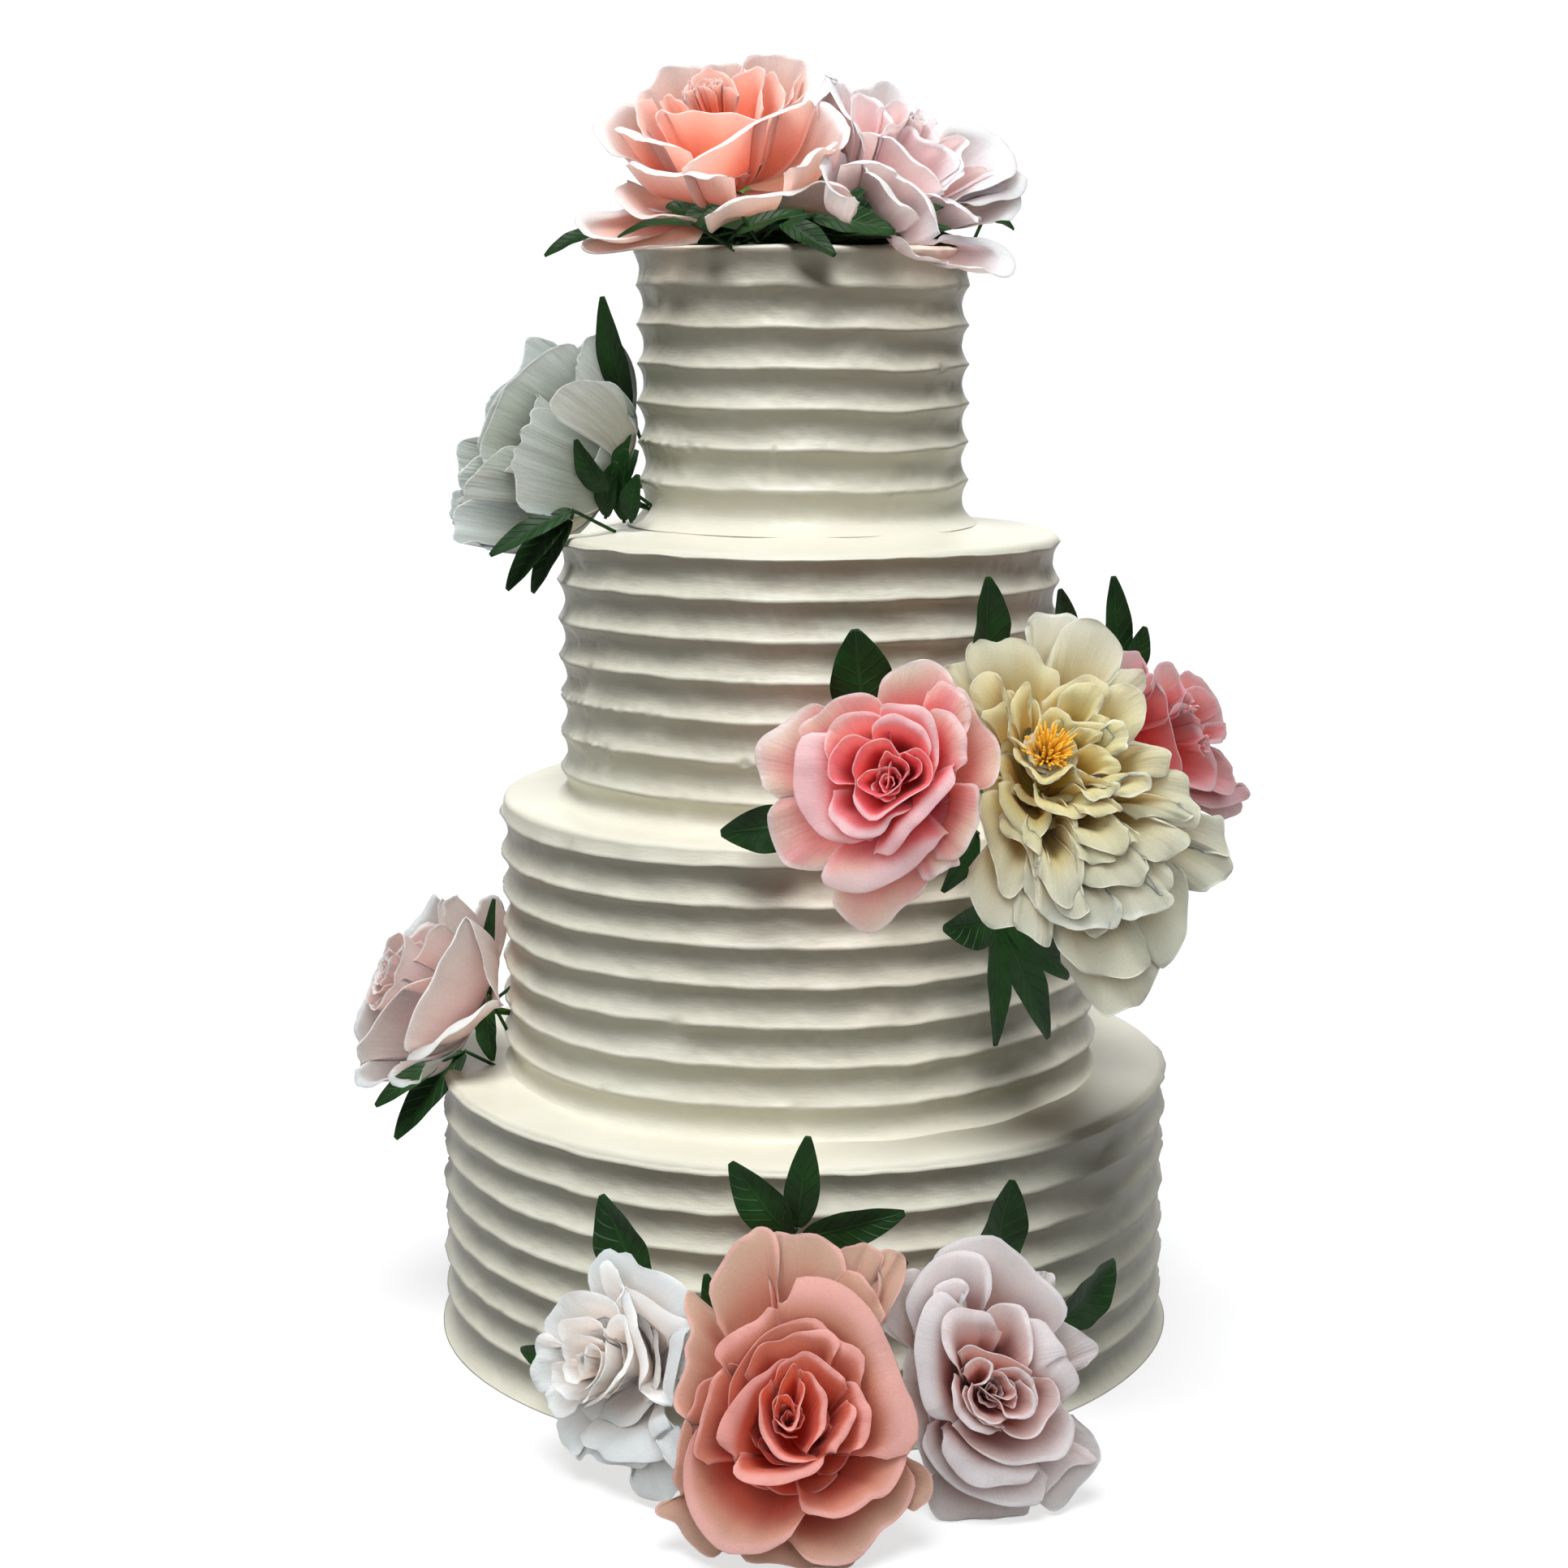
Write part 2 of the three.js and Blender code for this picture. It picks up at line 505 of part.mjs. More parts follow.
for (const flower of FLOWERS) {
  const matrix = flowerMatrix(flower);
  const solid = mainBody(cutClear(flowerSolid(flower), obstacles, matrix));
  const mesh = namedMesh(flower.name, geometryFrom(solid), flower.colour, 0.85);
  mesh.applyMatrix4(matrix);
  cake.add(mesh);
  obstacles.push(flowerSolid(flower, CLEARANCE).transform(matrix.elements));
}

for (const sprig of SPRIGS) {
  const solid = mainBody(cutClear(sprigSolid(sprig), obstacles, new THREE.Matrix4()));
  cake.add(namedMesh(sprig.name, geometryFrom(solid), 'leaf', 0.6));
  obstacles.push(sprigSolid(sprig, CLEARANCE));
}

export default cake;
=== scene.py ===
"""A four-tier wedding cake in combed ivory icing, dressed with silk roses, a peony and green leaves."""
import json
from math import pi, radians

import bpy
import numpy as np
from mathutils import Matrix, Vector

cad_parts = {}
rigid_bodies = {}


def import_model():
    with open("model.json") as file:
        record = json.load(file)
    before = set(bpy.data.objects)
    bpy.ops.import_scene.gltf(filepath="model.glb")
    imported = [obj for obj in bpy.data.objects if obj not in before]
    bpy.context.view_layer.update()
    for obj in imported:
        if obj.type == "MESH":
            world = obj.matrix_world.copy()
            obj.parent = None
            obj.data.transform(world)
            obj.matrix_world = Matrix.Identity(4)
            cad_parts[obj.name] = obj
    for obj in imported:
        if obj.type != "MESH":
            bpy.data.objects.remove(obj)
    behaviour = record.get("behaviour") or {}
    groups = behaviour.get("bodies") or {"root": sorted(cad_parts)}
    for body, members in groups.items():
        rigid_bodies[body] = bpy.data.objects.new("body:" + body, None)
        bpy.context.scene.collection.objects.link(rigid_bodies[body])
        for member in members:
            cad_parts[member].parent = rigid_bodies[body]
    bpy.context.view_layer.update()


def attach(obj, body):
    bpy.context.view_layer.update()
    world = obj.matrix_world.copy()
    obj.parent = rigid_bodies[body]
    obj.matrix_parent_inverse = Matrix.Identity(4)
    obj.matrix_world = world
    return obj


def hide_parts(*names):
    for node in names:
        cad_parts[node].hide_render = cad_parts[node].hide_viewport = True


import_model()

MM = 0.001                   # shapes are worked out in millimetres

# ---------------------------------------------------------------------------------------------
# Camera: a long lens a little above the cake's middle, looking slightly down
# ---------------------------------------------------------------------------------------------

SENSOR = 36                  # millimetres, and the lens is 3195.6 dots long in a view 1932 dots wide

camera_data = bpy.data.cameras.new("camera")
camera_data.sensor_width = SENSOR
camera_data.lens = SENSOR * 3195.6 / 1932
camera = bpy.data.objects.new("camera", camera_data)
camera.location = (-0.0098, -1.304, 0.5237)
camera.rotation_euler = (radians(79.37), 0, 0)
bpy.context.scene.collection.objects.link(camera)
bpy.context.scene.camera = camera

# ---------------------------------------------------------------------------------------------
# Tiers: four round sponge cakes, each under a thick coat of ivory buttercream. A plastic comb was
# drawn once round each side, which left round grooves between sharp crests; the tops are smoothed
# with a palette knife. They stand one on another.
# ---------------------------------------------------------------------------------------------

TOOTH_PITCH = 19.0           # between two crests
GROOVE_DEPTH = 3.7
SEAM = 1.2                   # how far a tier's soft icing sinks into the tier below
SIDES = 540                  # points round a tier
FOOT_ROWS, GROOVE_ROWS, TOP_ROWS = 14, 16, 25
UNDERSIDE = (0.3, 0.7, 0.95)  # where its rings lie, in shares of the radius
NICKS = 24                   # places where the comb tore a crest, on each tier
KNIFE = 0.4                  # which way the palette knife was drawn over the tops, in radians

# radius at the crests, the middle's place, the foot, the height, the highest crest's height, how
# many crests, how round the shoulder is, how far the foot spreads and how far the top rises
TIERS = {
    "tier_1": dict(radius=187.0, centre=0.0, base=0.0, height=138.0, crest=134.1, crests=7,
                   shoulder=7.0, spread=2.6, rise=0.0),
    "tier_2": dict(radius=152.5, centre=-2.0, base=138.0, height=139.0, crest=268.3, crests=7,
                   shoulder=7.0, spread=1.0, rise=0.0),
    "tier_3": dict(radius=125.8, centre=2.5, base=277.0, height=137.0, crest=405.5, crests=7,
                   shoulder=0.9, spread=3.5, rise=7.0),
    "tier_4": dict(radius=82.4, centre=0.0, base=414.0, height=134.0, crest=528.9, crests=6,
                   shoulder=1.2, spread=6.0, rise=1.0),
}
# where the comb dragged and left a ragged crest: how many below the highest, degrees round and half
# the stretch's degrees
TORN = {"tier_1": [(2, 80, 15)], "tier_2": [(3, 60, 12)],
        "tier_3": [(4, 216, 27), (5, 214, 14), (3, 256, 3)], "tier_4": [(4, 216, 27)]}


def smooth_step(low, high, value):
    """0 below low, 1 above high, and an S-shaped rise between them."""
    part = np.clip((value - low) / (high - low), 0, 1)
    return part * part * (3 - 2 * part)


def lumps(angle, z, radius, length, seed, waves=26):
    """An uneven surface of about the given wavelength: the mean of plane waves in random directions
    round the wall, each with a whole number of turns so that it closes on itself."""
    dice = np.random.default_rng(seed)
    total = np.zeros(np.broadcast(angle, z).shape)
    for _ in range(waves):
        slope, phase = dice.uniform(0, 2 * pi, 2)
        size = 2 * pi / (length * dice.uniform(0.7, 1.5))
        turns = np.round(radius * size * np.cos(slope))
        total += np.sin(turns * angle + size * np.sin(slope) * z + phase)
    return total / np.sqrt(waves)


def crest_wander(angle, number):
    """How far the crests wander up and down round a tier: two sines of the angle."""
    return 0.8 * np.sin(2 * angle + 1.7 * number) + 0.5 * np.sin(5 * angle + 2.3 * number)


def wall_wander(angle, z, number):
    """How far the icing stands in or out of round: two sines, one of which leans with the height."""
    return 0.5 * np.sin(3 * angle + number) + 0.35 * np.sin(7 * angle + z / 23 + 2 * number)


def side_profile(tier):
    """Radius, height, how far the icing may wander (0 to 1) and whether it is combed, up one side:
    the underside, a foot that spreads by a fifth power, hollow grooves between crests, then the
    brim and the top. Each groove is a parabola, deepest midway, so that two of them meet in a sharp
    crest. The brim is rounded, turned up or leant outwards, by the tier's shoulder and rise."""
    radius, top = tier["radius"], tier["base"] + tier["height"]
    last = tier["crest"] - (tier["crests"] - 1) * TOOTH_PITCH
    sunk = SEAM * (tier["base"] > 0)
    rows = [(share * radius, tier["base"] - sunk, 0, 0) for share in UNDERSIDE]
    foot = np.linspace(0, 1, FOOT_ROWS) ** 1.5
    hollow = GROOVE_DEPTH * 0.9 * np.sin(pi * foot) ** 0.8
    spread = tier["spread"] * (1 - foot) ** 5
    rows += zip(radius + spread - hollow, tier["base"] - sunk + (last - tier["base"] + sunk) * foot,
                np.minimum(1, 2 * foot), np.zeros(FOOT_ROWS))
    step = 1 - np.arange(1, GROOVE_ROWS + 1) / GROOVE_ROWS
    hollow = GROOVE_DEPTH * (1 - (2 * step - 1) ** 2)
    for crest in range(tier["crests"] - 1, 0, -1):
        rows += zip(radius - hollow, tier["crest"] - (crest - 1 + step) * TOOTH_PITCH,
                    np.ones(GROOVE_ROWS), np.ones(GROOVE_ROWS))
    brim, crest = top - tier["rise"], tier["crest"]
    if tier["shoulder"] > 2:    # smoothed over
        rows += [(radius - 1.2, crest + 0.9, 0.9, 0), (radius - 1.9, brim - 2.2, 0.6, 0),
                 (radius - 2.6, brim - 1.0, 0.4, 0), (radius - 4.4, brim - 0.2, 0.2, 0)]
    elif tier["rise"] > 2:      # turned up a little
        rows += [(radius - 0.6, crest + 0.5, 0.8, 0), (radius - 0.9, brim - 0.5, 0.5, 0),
                 (radius - 2.0, brim + 0.9, 0.4, 0), (radius - 5.0, brim + 1.7, 0.2, 0)]
    else:                       # leant outwards
        rise = np.linspace(0, 1, 9)[1:]
        rows += zip(radius + 1.5 * rise - 2.2 * np.sin(pi * rise), crest + (brim - 1 - crest) * rise,
                    1 - 0.5 * rise, np.zeros(8))
        rows += [(radius + 0.9, brim - 0.2, 0.4, 0), (radius - 1.0, brim + 0.6, 0.2, 0)]
    edge = rows[-1]
    inward = np.linspace(1, 0.02, TOP_ROWS + 1)[1:]
    level = edge[1] + (top - edge[1]) * smooth_step(1, 0.6, inward)
    rows += zip(edge[0] * inward, level, np.zeros(TOP_ROWS), np.zeros(TOP_ROWS))
    return np.array(rows).T[..., None]


def closed_skin(rings):
    """Points and faces of a round body from rings of equal count, first ring to last: four-sided
    faces between rings, and a fan of triangles to the middle of each end ring."""
    count, sides = rings.shape[:2]
    points = np.concatenate([rings.reshape(-1, 3), rings[0].mean(0)[None], rings[-1].mean(0)[None]])
    here = np.arange(sides)
    after = np.roll(here, -1)
    low = (np.arange(count - 1) * sides)[:, None]
    quads = np.stack([low + here, low + after, low + sides + after, low + sides + here], -1).reshape(-1, 4)
    last = (count - 1) * sides
    first_fan = np.stack([np.full(sides, count * sides), after, here], -1)
    last_fan = np.stack([np.full(sides, count * sides + 1), last + here, last + after], -1)
    return points, quads.tolist() + first_fan.tolist() + last_fan.tolist()


def new_object(name, points, faces, material):
    """An object at the origin whose mesh, in metres, has these points and faces and one material."""
    mesh = bpy.data.meshes.new(name)
    mesh.from_pydata(np.asarray(points).tolist(), [], faces)
    mesh.materials.append(material)
    made = bpy.data.objects.new(name, mesh)
    bpy.context.scene.collection.objects.link(made)
    return made


def shown_piece(name, points, faces, material, slot, node, places=None):
    """One finished piece, smooth, riding on the cake and standing for its CAD node. It gets its own
    map where a place is given for each point."""
    piece = new_object(name, np.asarray(points) * MM, faces, material)
    mesh = piece.data
    mesh.polygons.foreach_set("use_smooth", np.ones(len(mesh.polygons), bool))
    mesh.update()
    if places is not None:
        corners = np.empty(len(mesh.loops), np.int32)
        mesh.loops.foreach_get("vertex_index", corners)
        layer = mesh.uv_layers.new(name="map")
        layer.data.foreach_set("uv", np.asarray(places, np.float32)[corners].reshape(-1))
    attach(piece, "root")
    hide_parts(node)
    return piece


def linear(red, green, blue):
    """A colour of 0 to 255 per channel as linear light."""
    share = np.array([red, green, blue]) / 255
    return np.where(share <= 0.04045, share / 12.92, ((share + 0.055) / 1.055) ** 2.4)


def node_tools(tree, last):
    """Two helpers for a node tree: one adds a node and gives one of its outputs, the other sets up
    the last node. An input is a value, or the output that it is linked from."""
    def fill(node, inputs, settings):
        given = list(zip(node.inputs, inputs))
        for key, value in settings.items():
            if hasattr(node, key):
                setattr(node, key, value)
            else:
                spelt = key, key.replace("_", " ")
                given.append((next(each for each in node.inputs if each.identifier in spelt), value))
        for socket, value in given:
            if isinstance(value, bpy.types.NodeSocket):
                tree.links.new(value, socket)
            else:
                socket.default_value = value

    def add(kind, *inputs, output=0, **settings):
        node = tree.nodes.new("ShaderNode" + kind)
        fill(node, inputs, settings)
        return node.outputs[output]

    def shade(**settings):
        fill(tree.nodes[last], (), settings)
    return add, shade


def new_finish(name):
    """A new material with one shader, and its two helpers."""
    material = bpy.data.materials.new(name)
    material.use_nodes = True
    return material, *node_tools(material.node_tree, "Principled BSDF")


def two_tone(add, share, low, high, start=0.0, end=1.0):
    """A colour that runs from low to high as the share goes from start to end."""
    tone = add("ValToRGB", share)
    for stop, place, colour in zip(tone.node.color_ramp.elements, (start, end), (low, high)):
        stop.position = place
        stop.color = (*linear(*colour), 1)
    return tone


def icing_finish():
    """Buttercream: warm ivory, a little see-through, faintly mottled, with the fine pits and streaks
    that a comb and a palette knife leave."""
    material, add, shade = new_finish("icing")
    place = add("TexCoord", output="Object")
    mottle = add("TexNoise", place, Scale=14.0, Detail=4.0, Roughness=0.6)
    ivory = two_tone(add, mottle, (231, 227, 208), (238, 236, 219), 0.3, 0.7)
    level = add("Mapping", place, Scale=(1.0, 1.0, 5.0))
    drag = add("TexNoise", level, Scale=120.0, Detail=5.0, Roughness=0.65)
    streaked = add("Bump", Height=drag, Strength=0.35, Distance=0.0006)
    pits = add("TexVoronoi", place, Scale=260.0, Randomness=1.0)
    sunk = add("MapRange", pits, From_Max=0.16)
    pitted = add("Bump", Height=sunk, Normal=streaked, Strength=0.12, Distance=0.0004)
    shade(Base_Color=ivory, Roughness=0.42, Specular_IOR_Level=0.35, Subsurface_Weight=0.12,
          Subsurface_Radius=(1.0, 0.8, 0.5), Subsurface_Scale=0.001, Normal=pitted)
    return material


def round_from(angle, side):
    """How far round each point is from one side, in radians, the short way."""
    return np.angle(np.exp(1j * (angle - side)))


icing = icing_finish()
angle = np.linspace(0, 2 * pi, SIDES, endpoint=False)[None, :]
for number, (name, tier) in enumerate(TIERS.items(), 1):
    wall, crests = tier["radius"], tier["crest"]
    radius, z, loose, combed = side_profile(tier)
    on_side = loose > 0
    on_top = smooth_step(0.99, 0.9, radius / wall) * (z > tier["base"] + tier["height"] - 9)
    # out of round, with long lumps in the grooves and short ones all over the side
    reach = radius + wall_wander(angle, z, number) * np.minimum(1, radius / wall)
    reach = reach + combed * 0.28 * lumps(angle, z, wall, 26, number)
    reach = reach + on_side * 0.12 * lumps(angle, z, wall, 7, 10 + number)
    lift = loose * (crest_wander(angle, number) + 0.25 * lumps(angle, z / 3, wall, 30, 20 + number))
    dice = np.random.default_rng(30 + number)
    for _ in range(NICKS):
        side = dice.uniform(0, 2 * pi)
        crest = crests - dice.integers(tier["crests"]) * TOOTH_PITCH
        away = (round_from(angle, side) * wall / dice.uniform(1.2, 4)) ** 2
        reach = reach - dice.uniform(0.4, 1.5) * np.exp(-away - ((z - crest) / 1.4) ** 2) * on_side
    for crest, side, half in TORN[name]:
        away = np.abs(np.degrees(round_from(angle, radians(side))))
        near = smooth_step(half, 0.7 * half, away)
        near = near * np.exp(-((z - crests + crest * TOOTH_PITCH + 0.5) / 1.7) ** 2)
        reach = reach + near * (0.6 * lumps(angle, 0.3 * z, wall, 6, 40 + crest) - 0.4)
        lift = lift + near * 0.6 * lumps(angle, 0 * z, wall, 9, 50 + crest)
    # the palette knife's long shallow streaks on the top
    across = radius * np.cos(angle - KNIFE)
    onward = radius * np.sin(angle - KNIFE)
    streak = 0.35 * np.sin(across / 9 + 0.6 * np.sin(onward / 31)) + 0.25 * np.sin(onward / 17 + across / 40)
    lift = lift + on_top * streak
    rings = np.stack([tier["centre"] + reach * np.cos(angle), reach * np.sin(angle), z + lift], -1)
    rings[..., 2] = np.maximum(rings[..., 2], tier["base"] - SEAM * (tier["base"] > 0))
    shown_piece(f"{name}_icing", *closed_skin(rings), icing, "icing", name)

# ---------------------------------------------------------------------------------------------
# Flowers: silk petals, each cut and pressed over a hot iron so that its edge rolls back, glued in
# turns round a bud on a wire stem, with a green calyx behind. The wires are pushed into the cake.
# ---------------------------------------------------------------------------------------------

PETAL_COLUMNS, PETAL_ROWS = 29, 22
LIP_START = 0.8              # where along a petal its rolled lip starts
TUCK_START = 0.72            # how far from a petal's middle its tucked ends start
TUCK_DEPTH = 2.2             # how far these ends lie back
FLAT_LIP = 1.75              # the slope that a lip ends at, in radians from the flower's axis
GOLDEN = 137.5               # degrees from one heart petal to the next
SILK_THICKNESS = 0.3
LOWEST_PETAL = 0.8           # petals at the foot are bent up to this height
STEM_DEPTH = 3               # how deep a wire goes into the icing
LEAF_THICKNESS = 0.7
STALK_END = 0.9              # half a leaf's width where it meets its stalk, and a stalk's radius


# A petal is given by its rim, seen from the flower's face: heights and lip widths, spread evenly from
# its one end to its other, and places from the bud's tip, to the right plus upwards times 1j.
def rim_places(reach, turn):
    """Places at these distances from the bud's tip, at these turns from the right."""
    return reach * np.cos(turn) + 1j * reach * np.sin(turn)


def shingles(count, radius, height, first, lip):
    """A turn of equal petals that lap like shingles, each a little further out at one end."""
    made = []
    across = np.array([-1, -0.75, -0.4, 0, 0.4, 0.75, 1])
    for number in range(count):
        uneven = np.sin(12.9 * (number + 1) + 7.7 * count + radius)
        size = radius * (1 + 0.05 * uneven)
        turn = np.radians(first + 360 * number / count + 235 / count * across)
        reach = size * (1 + 0.05 * across - 0.09 * np.abs(across) ** 3)
        heights = height + 1.5 * uneven - 0.12 * size * np.abs(across) ** 3
        made.append((heights, 1.3 * lip * (1 - np.abs(across) ** 4), rim_places(reach, turn)))
    return made


def far_side(petals):
    """The same petals again a little smaller on the flower's other side."""
    return [(heights, lips, [complex(-0.8 * place.real, 0.9 * place.imag) for place in places])
            for heights, lips, places in petals]


def furled(size, first, count=13, smallest=0.09, top=1.0):
    """The furled middle of a rose: petals at golden-angle turns, each wider and shorter round than
    the last, whose rims sink a little away from the bud's tip."""
    made = []
    across = np.linspace(-1, 1, 7)
    for number in range(count):
        share = number / (count - 1)
        radius = size * (smallest + (1 - smallest) * share ** 0.95)
        turn = np.radians(first + GOLDEN * number + (125 - 62 * share) * across)
        heights = top - 0.12 * radius - 0.1 * radius * np.abs(across) ** 3
        lips = (1.0 + 0.08 * radius) * (1 - np.abs(across) ** 4)
        made.append((heights, lips, rim_places(radius * (1 + 0.05 * across), turn)))
    return made


def smooth_line(knots, count):
    """Points evenly along a smooth curve through the knots: each stretch is the cubic whose slopes
    at its ends are half the way between the knots before and after."""
    padded = np.concatenate([[2 * knots[0] - knots[1]], knots, [2 * knots[-1] - knots[-2]]])
    place = np.linspace(0, len(knots) - 1, count)
    stretch = np.minimum(place.astype(int), len(knots) - 2)
    part = (place - stretch)[:, None]
    a, b, c, d = (padded[stretch + offset] for offset in range(4))
    return 0.5 * (2 * b + (c - a) * part + (2 * a - 5 * b + 4 * c - d) * part ** 2
                  + (3 * b - a - 3 * c + d) * part ** 3)


def petal_points(petals, depth, seed, ragged, flat, opening):
    """Points of petals in the flower's frame, petal by row by column. Each column runs from the
    calyx on a cubic curve, out over a round belly and up to the rim, and past it the lip rolls back
    on an arc, square to the rim as seen from the flower's face. A petal's ends are tucked in behind
    its neighbours. Waves of sines grow with the cube of the way to the rim, a ragged petal is cut
    short in places, and a fine fringe runs along every edge. Outer petals open by more than inner
    ones: opening gives the share at the heart and the share at the outside."""
    rims = []
    for *heights_and_lips, places in petals:
        places = np.array(places, complex)
        even = np.linspace(0, 1, len(places))
        knots = [places.real, places.imag]
        for values in map(np.atleast_1d, heights_and_lips):
            knots.append(np.interp(even, np.linspace(0, 1, len(values)), values))
        rims.append(smooth_line(np.stack(knots, -1), PETAL_COLUMNS))
    x, y, height, lip = np.moveaxis(np.array(rims), -1, 0)[:, :, None, :]

    dice = np.random.default_rng(seed)
    phase = dice.uniform(0, 2 * pi, (8, len(petals), 1, 1))
    across = np.linspace(-1, 1, PETAL_COLUMNS)[None, None, :]
    along = (1 - (1 - np.linspace(0, 1, PETAL_ROWS)) ** 1.5)[None, :, None]
    radius = np.maximum(np.hypot(x, y), 0.4)
    size = radius.mean(-1, keepdims=True)
    opens = opening[0] + (opening[1] - opening[0]) * (radius / size.max()) ** 2
    tucked = smooth_step(TUCK_START, 1, np.abs(across))
    height = height - TUCK_DEPTH * tucked
    lip = lip * (1 - tucked)
    reach = along * np.ones_like(radius)
    if ragged:
        torn = np.sin(9 * across + phase[5]) * 0.5 + np.sin(23 * across + phase[6]) * 0.5
        reach = reach * (1 - ragged * (0.5 + 0.5 * torn) * along ** 4)

    # the column below the lip, as shares of four knots
    wall = np.minimum(reach / LIP_START, 1)
    low = np.maximum(2 - depth, height.max(-1, keepdims=True) - 9 - 1.5 * size)
    tall = height - low
    rim = radius * (1 - 0.07 * tucked)
    knots = [(np.minimum(1.5, 0.5 * size), low), ((0.9 - 0.25 * opens) * rim, low + 0.12 * tall),
             (rim * (1 - 0.42 * opens), height - 0.42 * (1 - opens) * tall
              + 0.35 * np.maximum(opens - 0.75, 0) * radius), (rim, height)]
    weights = [(1 - wall) ** 3, 3 * wall * (1 - wall) ** 2, 3 * wall ** 2 * (1 - wall), wall ** 3]
    out = sum(weight * knot[0] for weight, knot in zip(weights, knots))
    up = sum(weight * knot[1] for weight, knot in zip(weights, knots))

    # broad waves and fine ripples, first out and in, then up and down
    swell = reach ** 3
    out = out + swell * (0.2 + 0.008 * radius) * np.sin(5 * across + phase[0])
    out = out + 0.25 * reach * np.sin(11 * across + 4 * along + phase[2])
    up = up + swell * (1 + flat) * (0.3 + 0.012 * radius) * np.sin(7 * across + phase[1])
    up = up + swell * 0.3 * np.sin(14 * across + phase[3])
    up = up + flat * along * (1 - along ** 2) * 0.7 * np.sin(4 * across + phase[7])
    out = out * (1 - 0.03 * np.sin(pi * wall))
    right, top = x / radius * out, y / radius * out

    # the lip: an arc on from the slope that the column ends with
    lean = np.arctan2(rim - knots[2][0], height - knots[2][1])
    roll = (FLAT_LIP + 0.15 * np.sin(phase[4]) - lean) * (0.08 + 0.92 * smooth_step(0.7, 3, lip))
    turned = roll * np.maximum(reach - LIP_START, 0) / (1 - LIP_START)
    curl = np.maximum(lip, 0.25) * 1.2 / roll
    square = np.stack([np.gradient(y, axis=-1), -np.gradient(x, axis=-1)])
    square /= np.maximum(np.linalg.norm(square, axis=0), 1e-6)
    square *= np.sign((square[0] * x + square[1] * y).sum(-1, keepdims=True))
    over = curl * (np.cos(lean) - np.cos(lean + turned))
    right, top = right + over * square[0], top + over * square[1]
    up = up + curl * (np.sin(lean + turned) - np.sin(lean))
    fringe = 0.25 * np.sin(61 * across + 9 * np.sin(17 * across + phase[6])) * (along > 0.98)
    return np.stack([right, top, up + fringe], -1), across, along, radius, lip


def petal_dye_and_shade(across, along, radius, lip, dye_and_shade, seed):
    """The colour of each point: deep at the foot, then from the heart's to the outer petals' colour
    by the rim's distance from the bud, and the rim's own colour on the lip. Petals differ a little in
    depth of colour, and outer ones may be patched with another colour. The colours given hold painted
    shade as well as the silk's colour, darker for the flowers that stand in less light."""
    deep, heart, outer, rim = (linear(*dye_and_shade[key]) for key in ("deep", "heart", "outer", "rim"))
    dice = np.random.default_rng(seed + 1)
    count = len(radius)
    part = smooth_step(0.1, 0.75, radius / radius.max())[..., None]
    body = heart * (1 - part) + outer * part
    if "patch" in dye_and_shade:
        phase = dice.uniform(0, 2 * pi, (2, count, 1, 1))
        stain = 0.5 + 0.5 * np.sin(3 * across + 2 * along + phase[0]) * np.sin(2 * across + phase[1])
        stain = (stain * smooth_step(0.55, 0.95, part[..., 0]) * smooth_step(0.5, 0.9, along))[..., None]
        body = body * (1 - stain) + linear(*dye_and_shade["patch"]) * stain
    rise = smooth_step(0.35, 0.85, along)[..., None]
    foot = deep * (1 - 0.45 * part) + body * 0.45 * part
    colour = foot * (1 - rise) + body * rise
    wide = smooth_step(0.8, 2.5, lip)
    edge = smooth_step(0.84 - 0.1 * wide, 1 - 0.08 * wide, along)
    edge = np.maximum(edge, 0.5 * smooth_step(0.85, 1, np.abs(across)))[..., None]
    colour = colour * (1 - 0.7 * edge) + rim * 0.7 * edge
    return colour * dice.uniform(0.93, 1.05, (count, 1, 1, 1))


def sheet_faces(sheets, rows, columns):
    """Faces of several equal grids of points that follow one another."""
    row = np.arange(rows - 1)[:, None] * columns
    corner = (row + np.arange(columns - 1)).reshape(-1)
    quads = np.stack([corner, corner + 1, corner + columns + 1, corner + columns], -1)
    starts = np.arange(sheets)[:, None, None] * rows * columns
    return (starts + quads).reshape(-1, 4).tolist()


def silk_finish(name, creased):
    """Dyed silk: colour from each petal's colour attribute, which holds painted shade too, matt with a
    soft sheen, a fine weave, and creases that run from a petal's foot to its rim."""
    material, add, shade = new_finish(name)
    place = add("TexCoord", output="Object")
    patch = add("TexNoise", place, Scale=60.0, Detail=3.0, Roughness=0.6)
    depth = add("MapRange", patch, To_Min=0.9, To_Max=1.08)
    thread = add("TexNoise", place, Scale=1400.0, Detail=2.0)
    nap = add("MapRange", thread, To_Min=0.86, To_Max=1.14)
    both = add("Math", depth, nap, operation="MULTIPLY")
    tint = add("VectorMath", add("Attribute", attribute_name="dye_and_shade"), Scale=both, operation="SCALE")
    grain = add("Mapping", add("TexCoord", output="UV"), Scale=(3.5, 0.8, 1.0))
    creases = add("TexNoise", grain, Scale=2.0, Detail=4.0, Roughness=0.55)
    folded = add("Bump", Height=creases, Strength=creased, Distance=0.0015)
    weave = add("TexNoise", place, Scale=900.0, Detail=2.0)
    woven = add("Bump", Height=weave, Normal=folded, Strength=0.3, Distance=0.0002)
    shade(Base_Color=tint, Roughness=0.62, Specular_IOR_Level=0.25, Sheen_Weight=0.12,
          Sheen_Roughness=0.4, Subsurface_Weight=0.85, Subsurface_Radius=(1.0, 0.8, 0.7),
          Subsurface_Scale=0.003, Normal=woven)
    return material


def flower_frame(heart, facing):
    """The bud's tip, and the flower's own right, top and face as rows of a turning matrix."""
    axis = np.array(facing) / np.linalg.norm(facing)
    right = np.cross([0, 0, 1], axis)
    right /= np.linalg.norm(right)
    return np.array(heart, float), np.stack([right, np.cross(axis, right), axis])


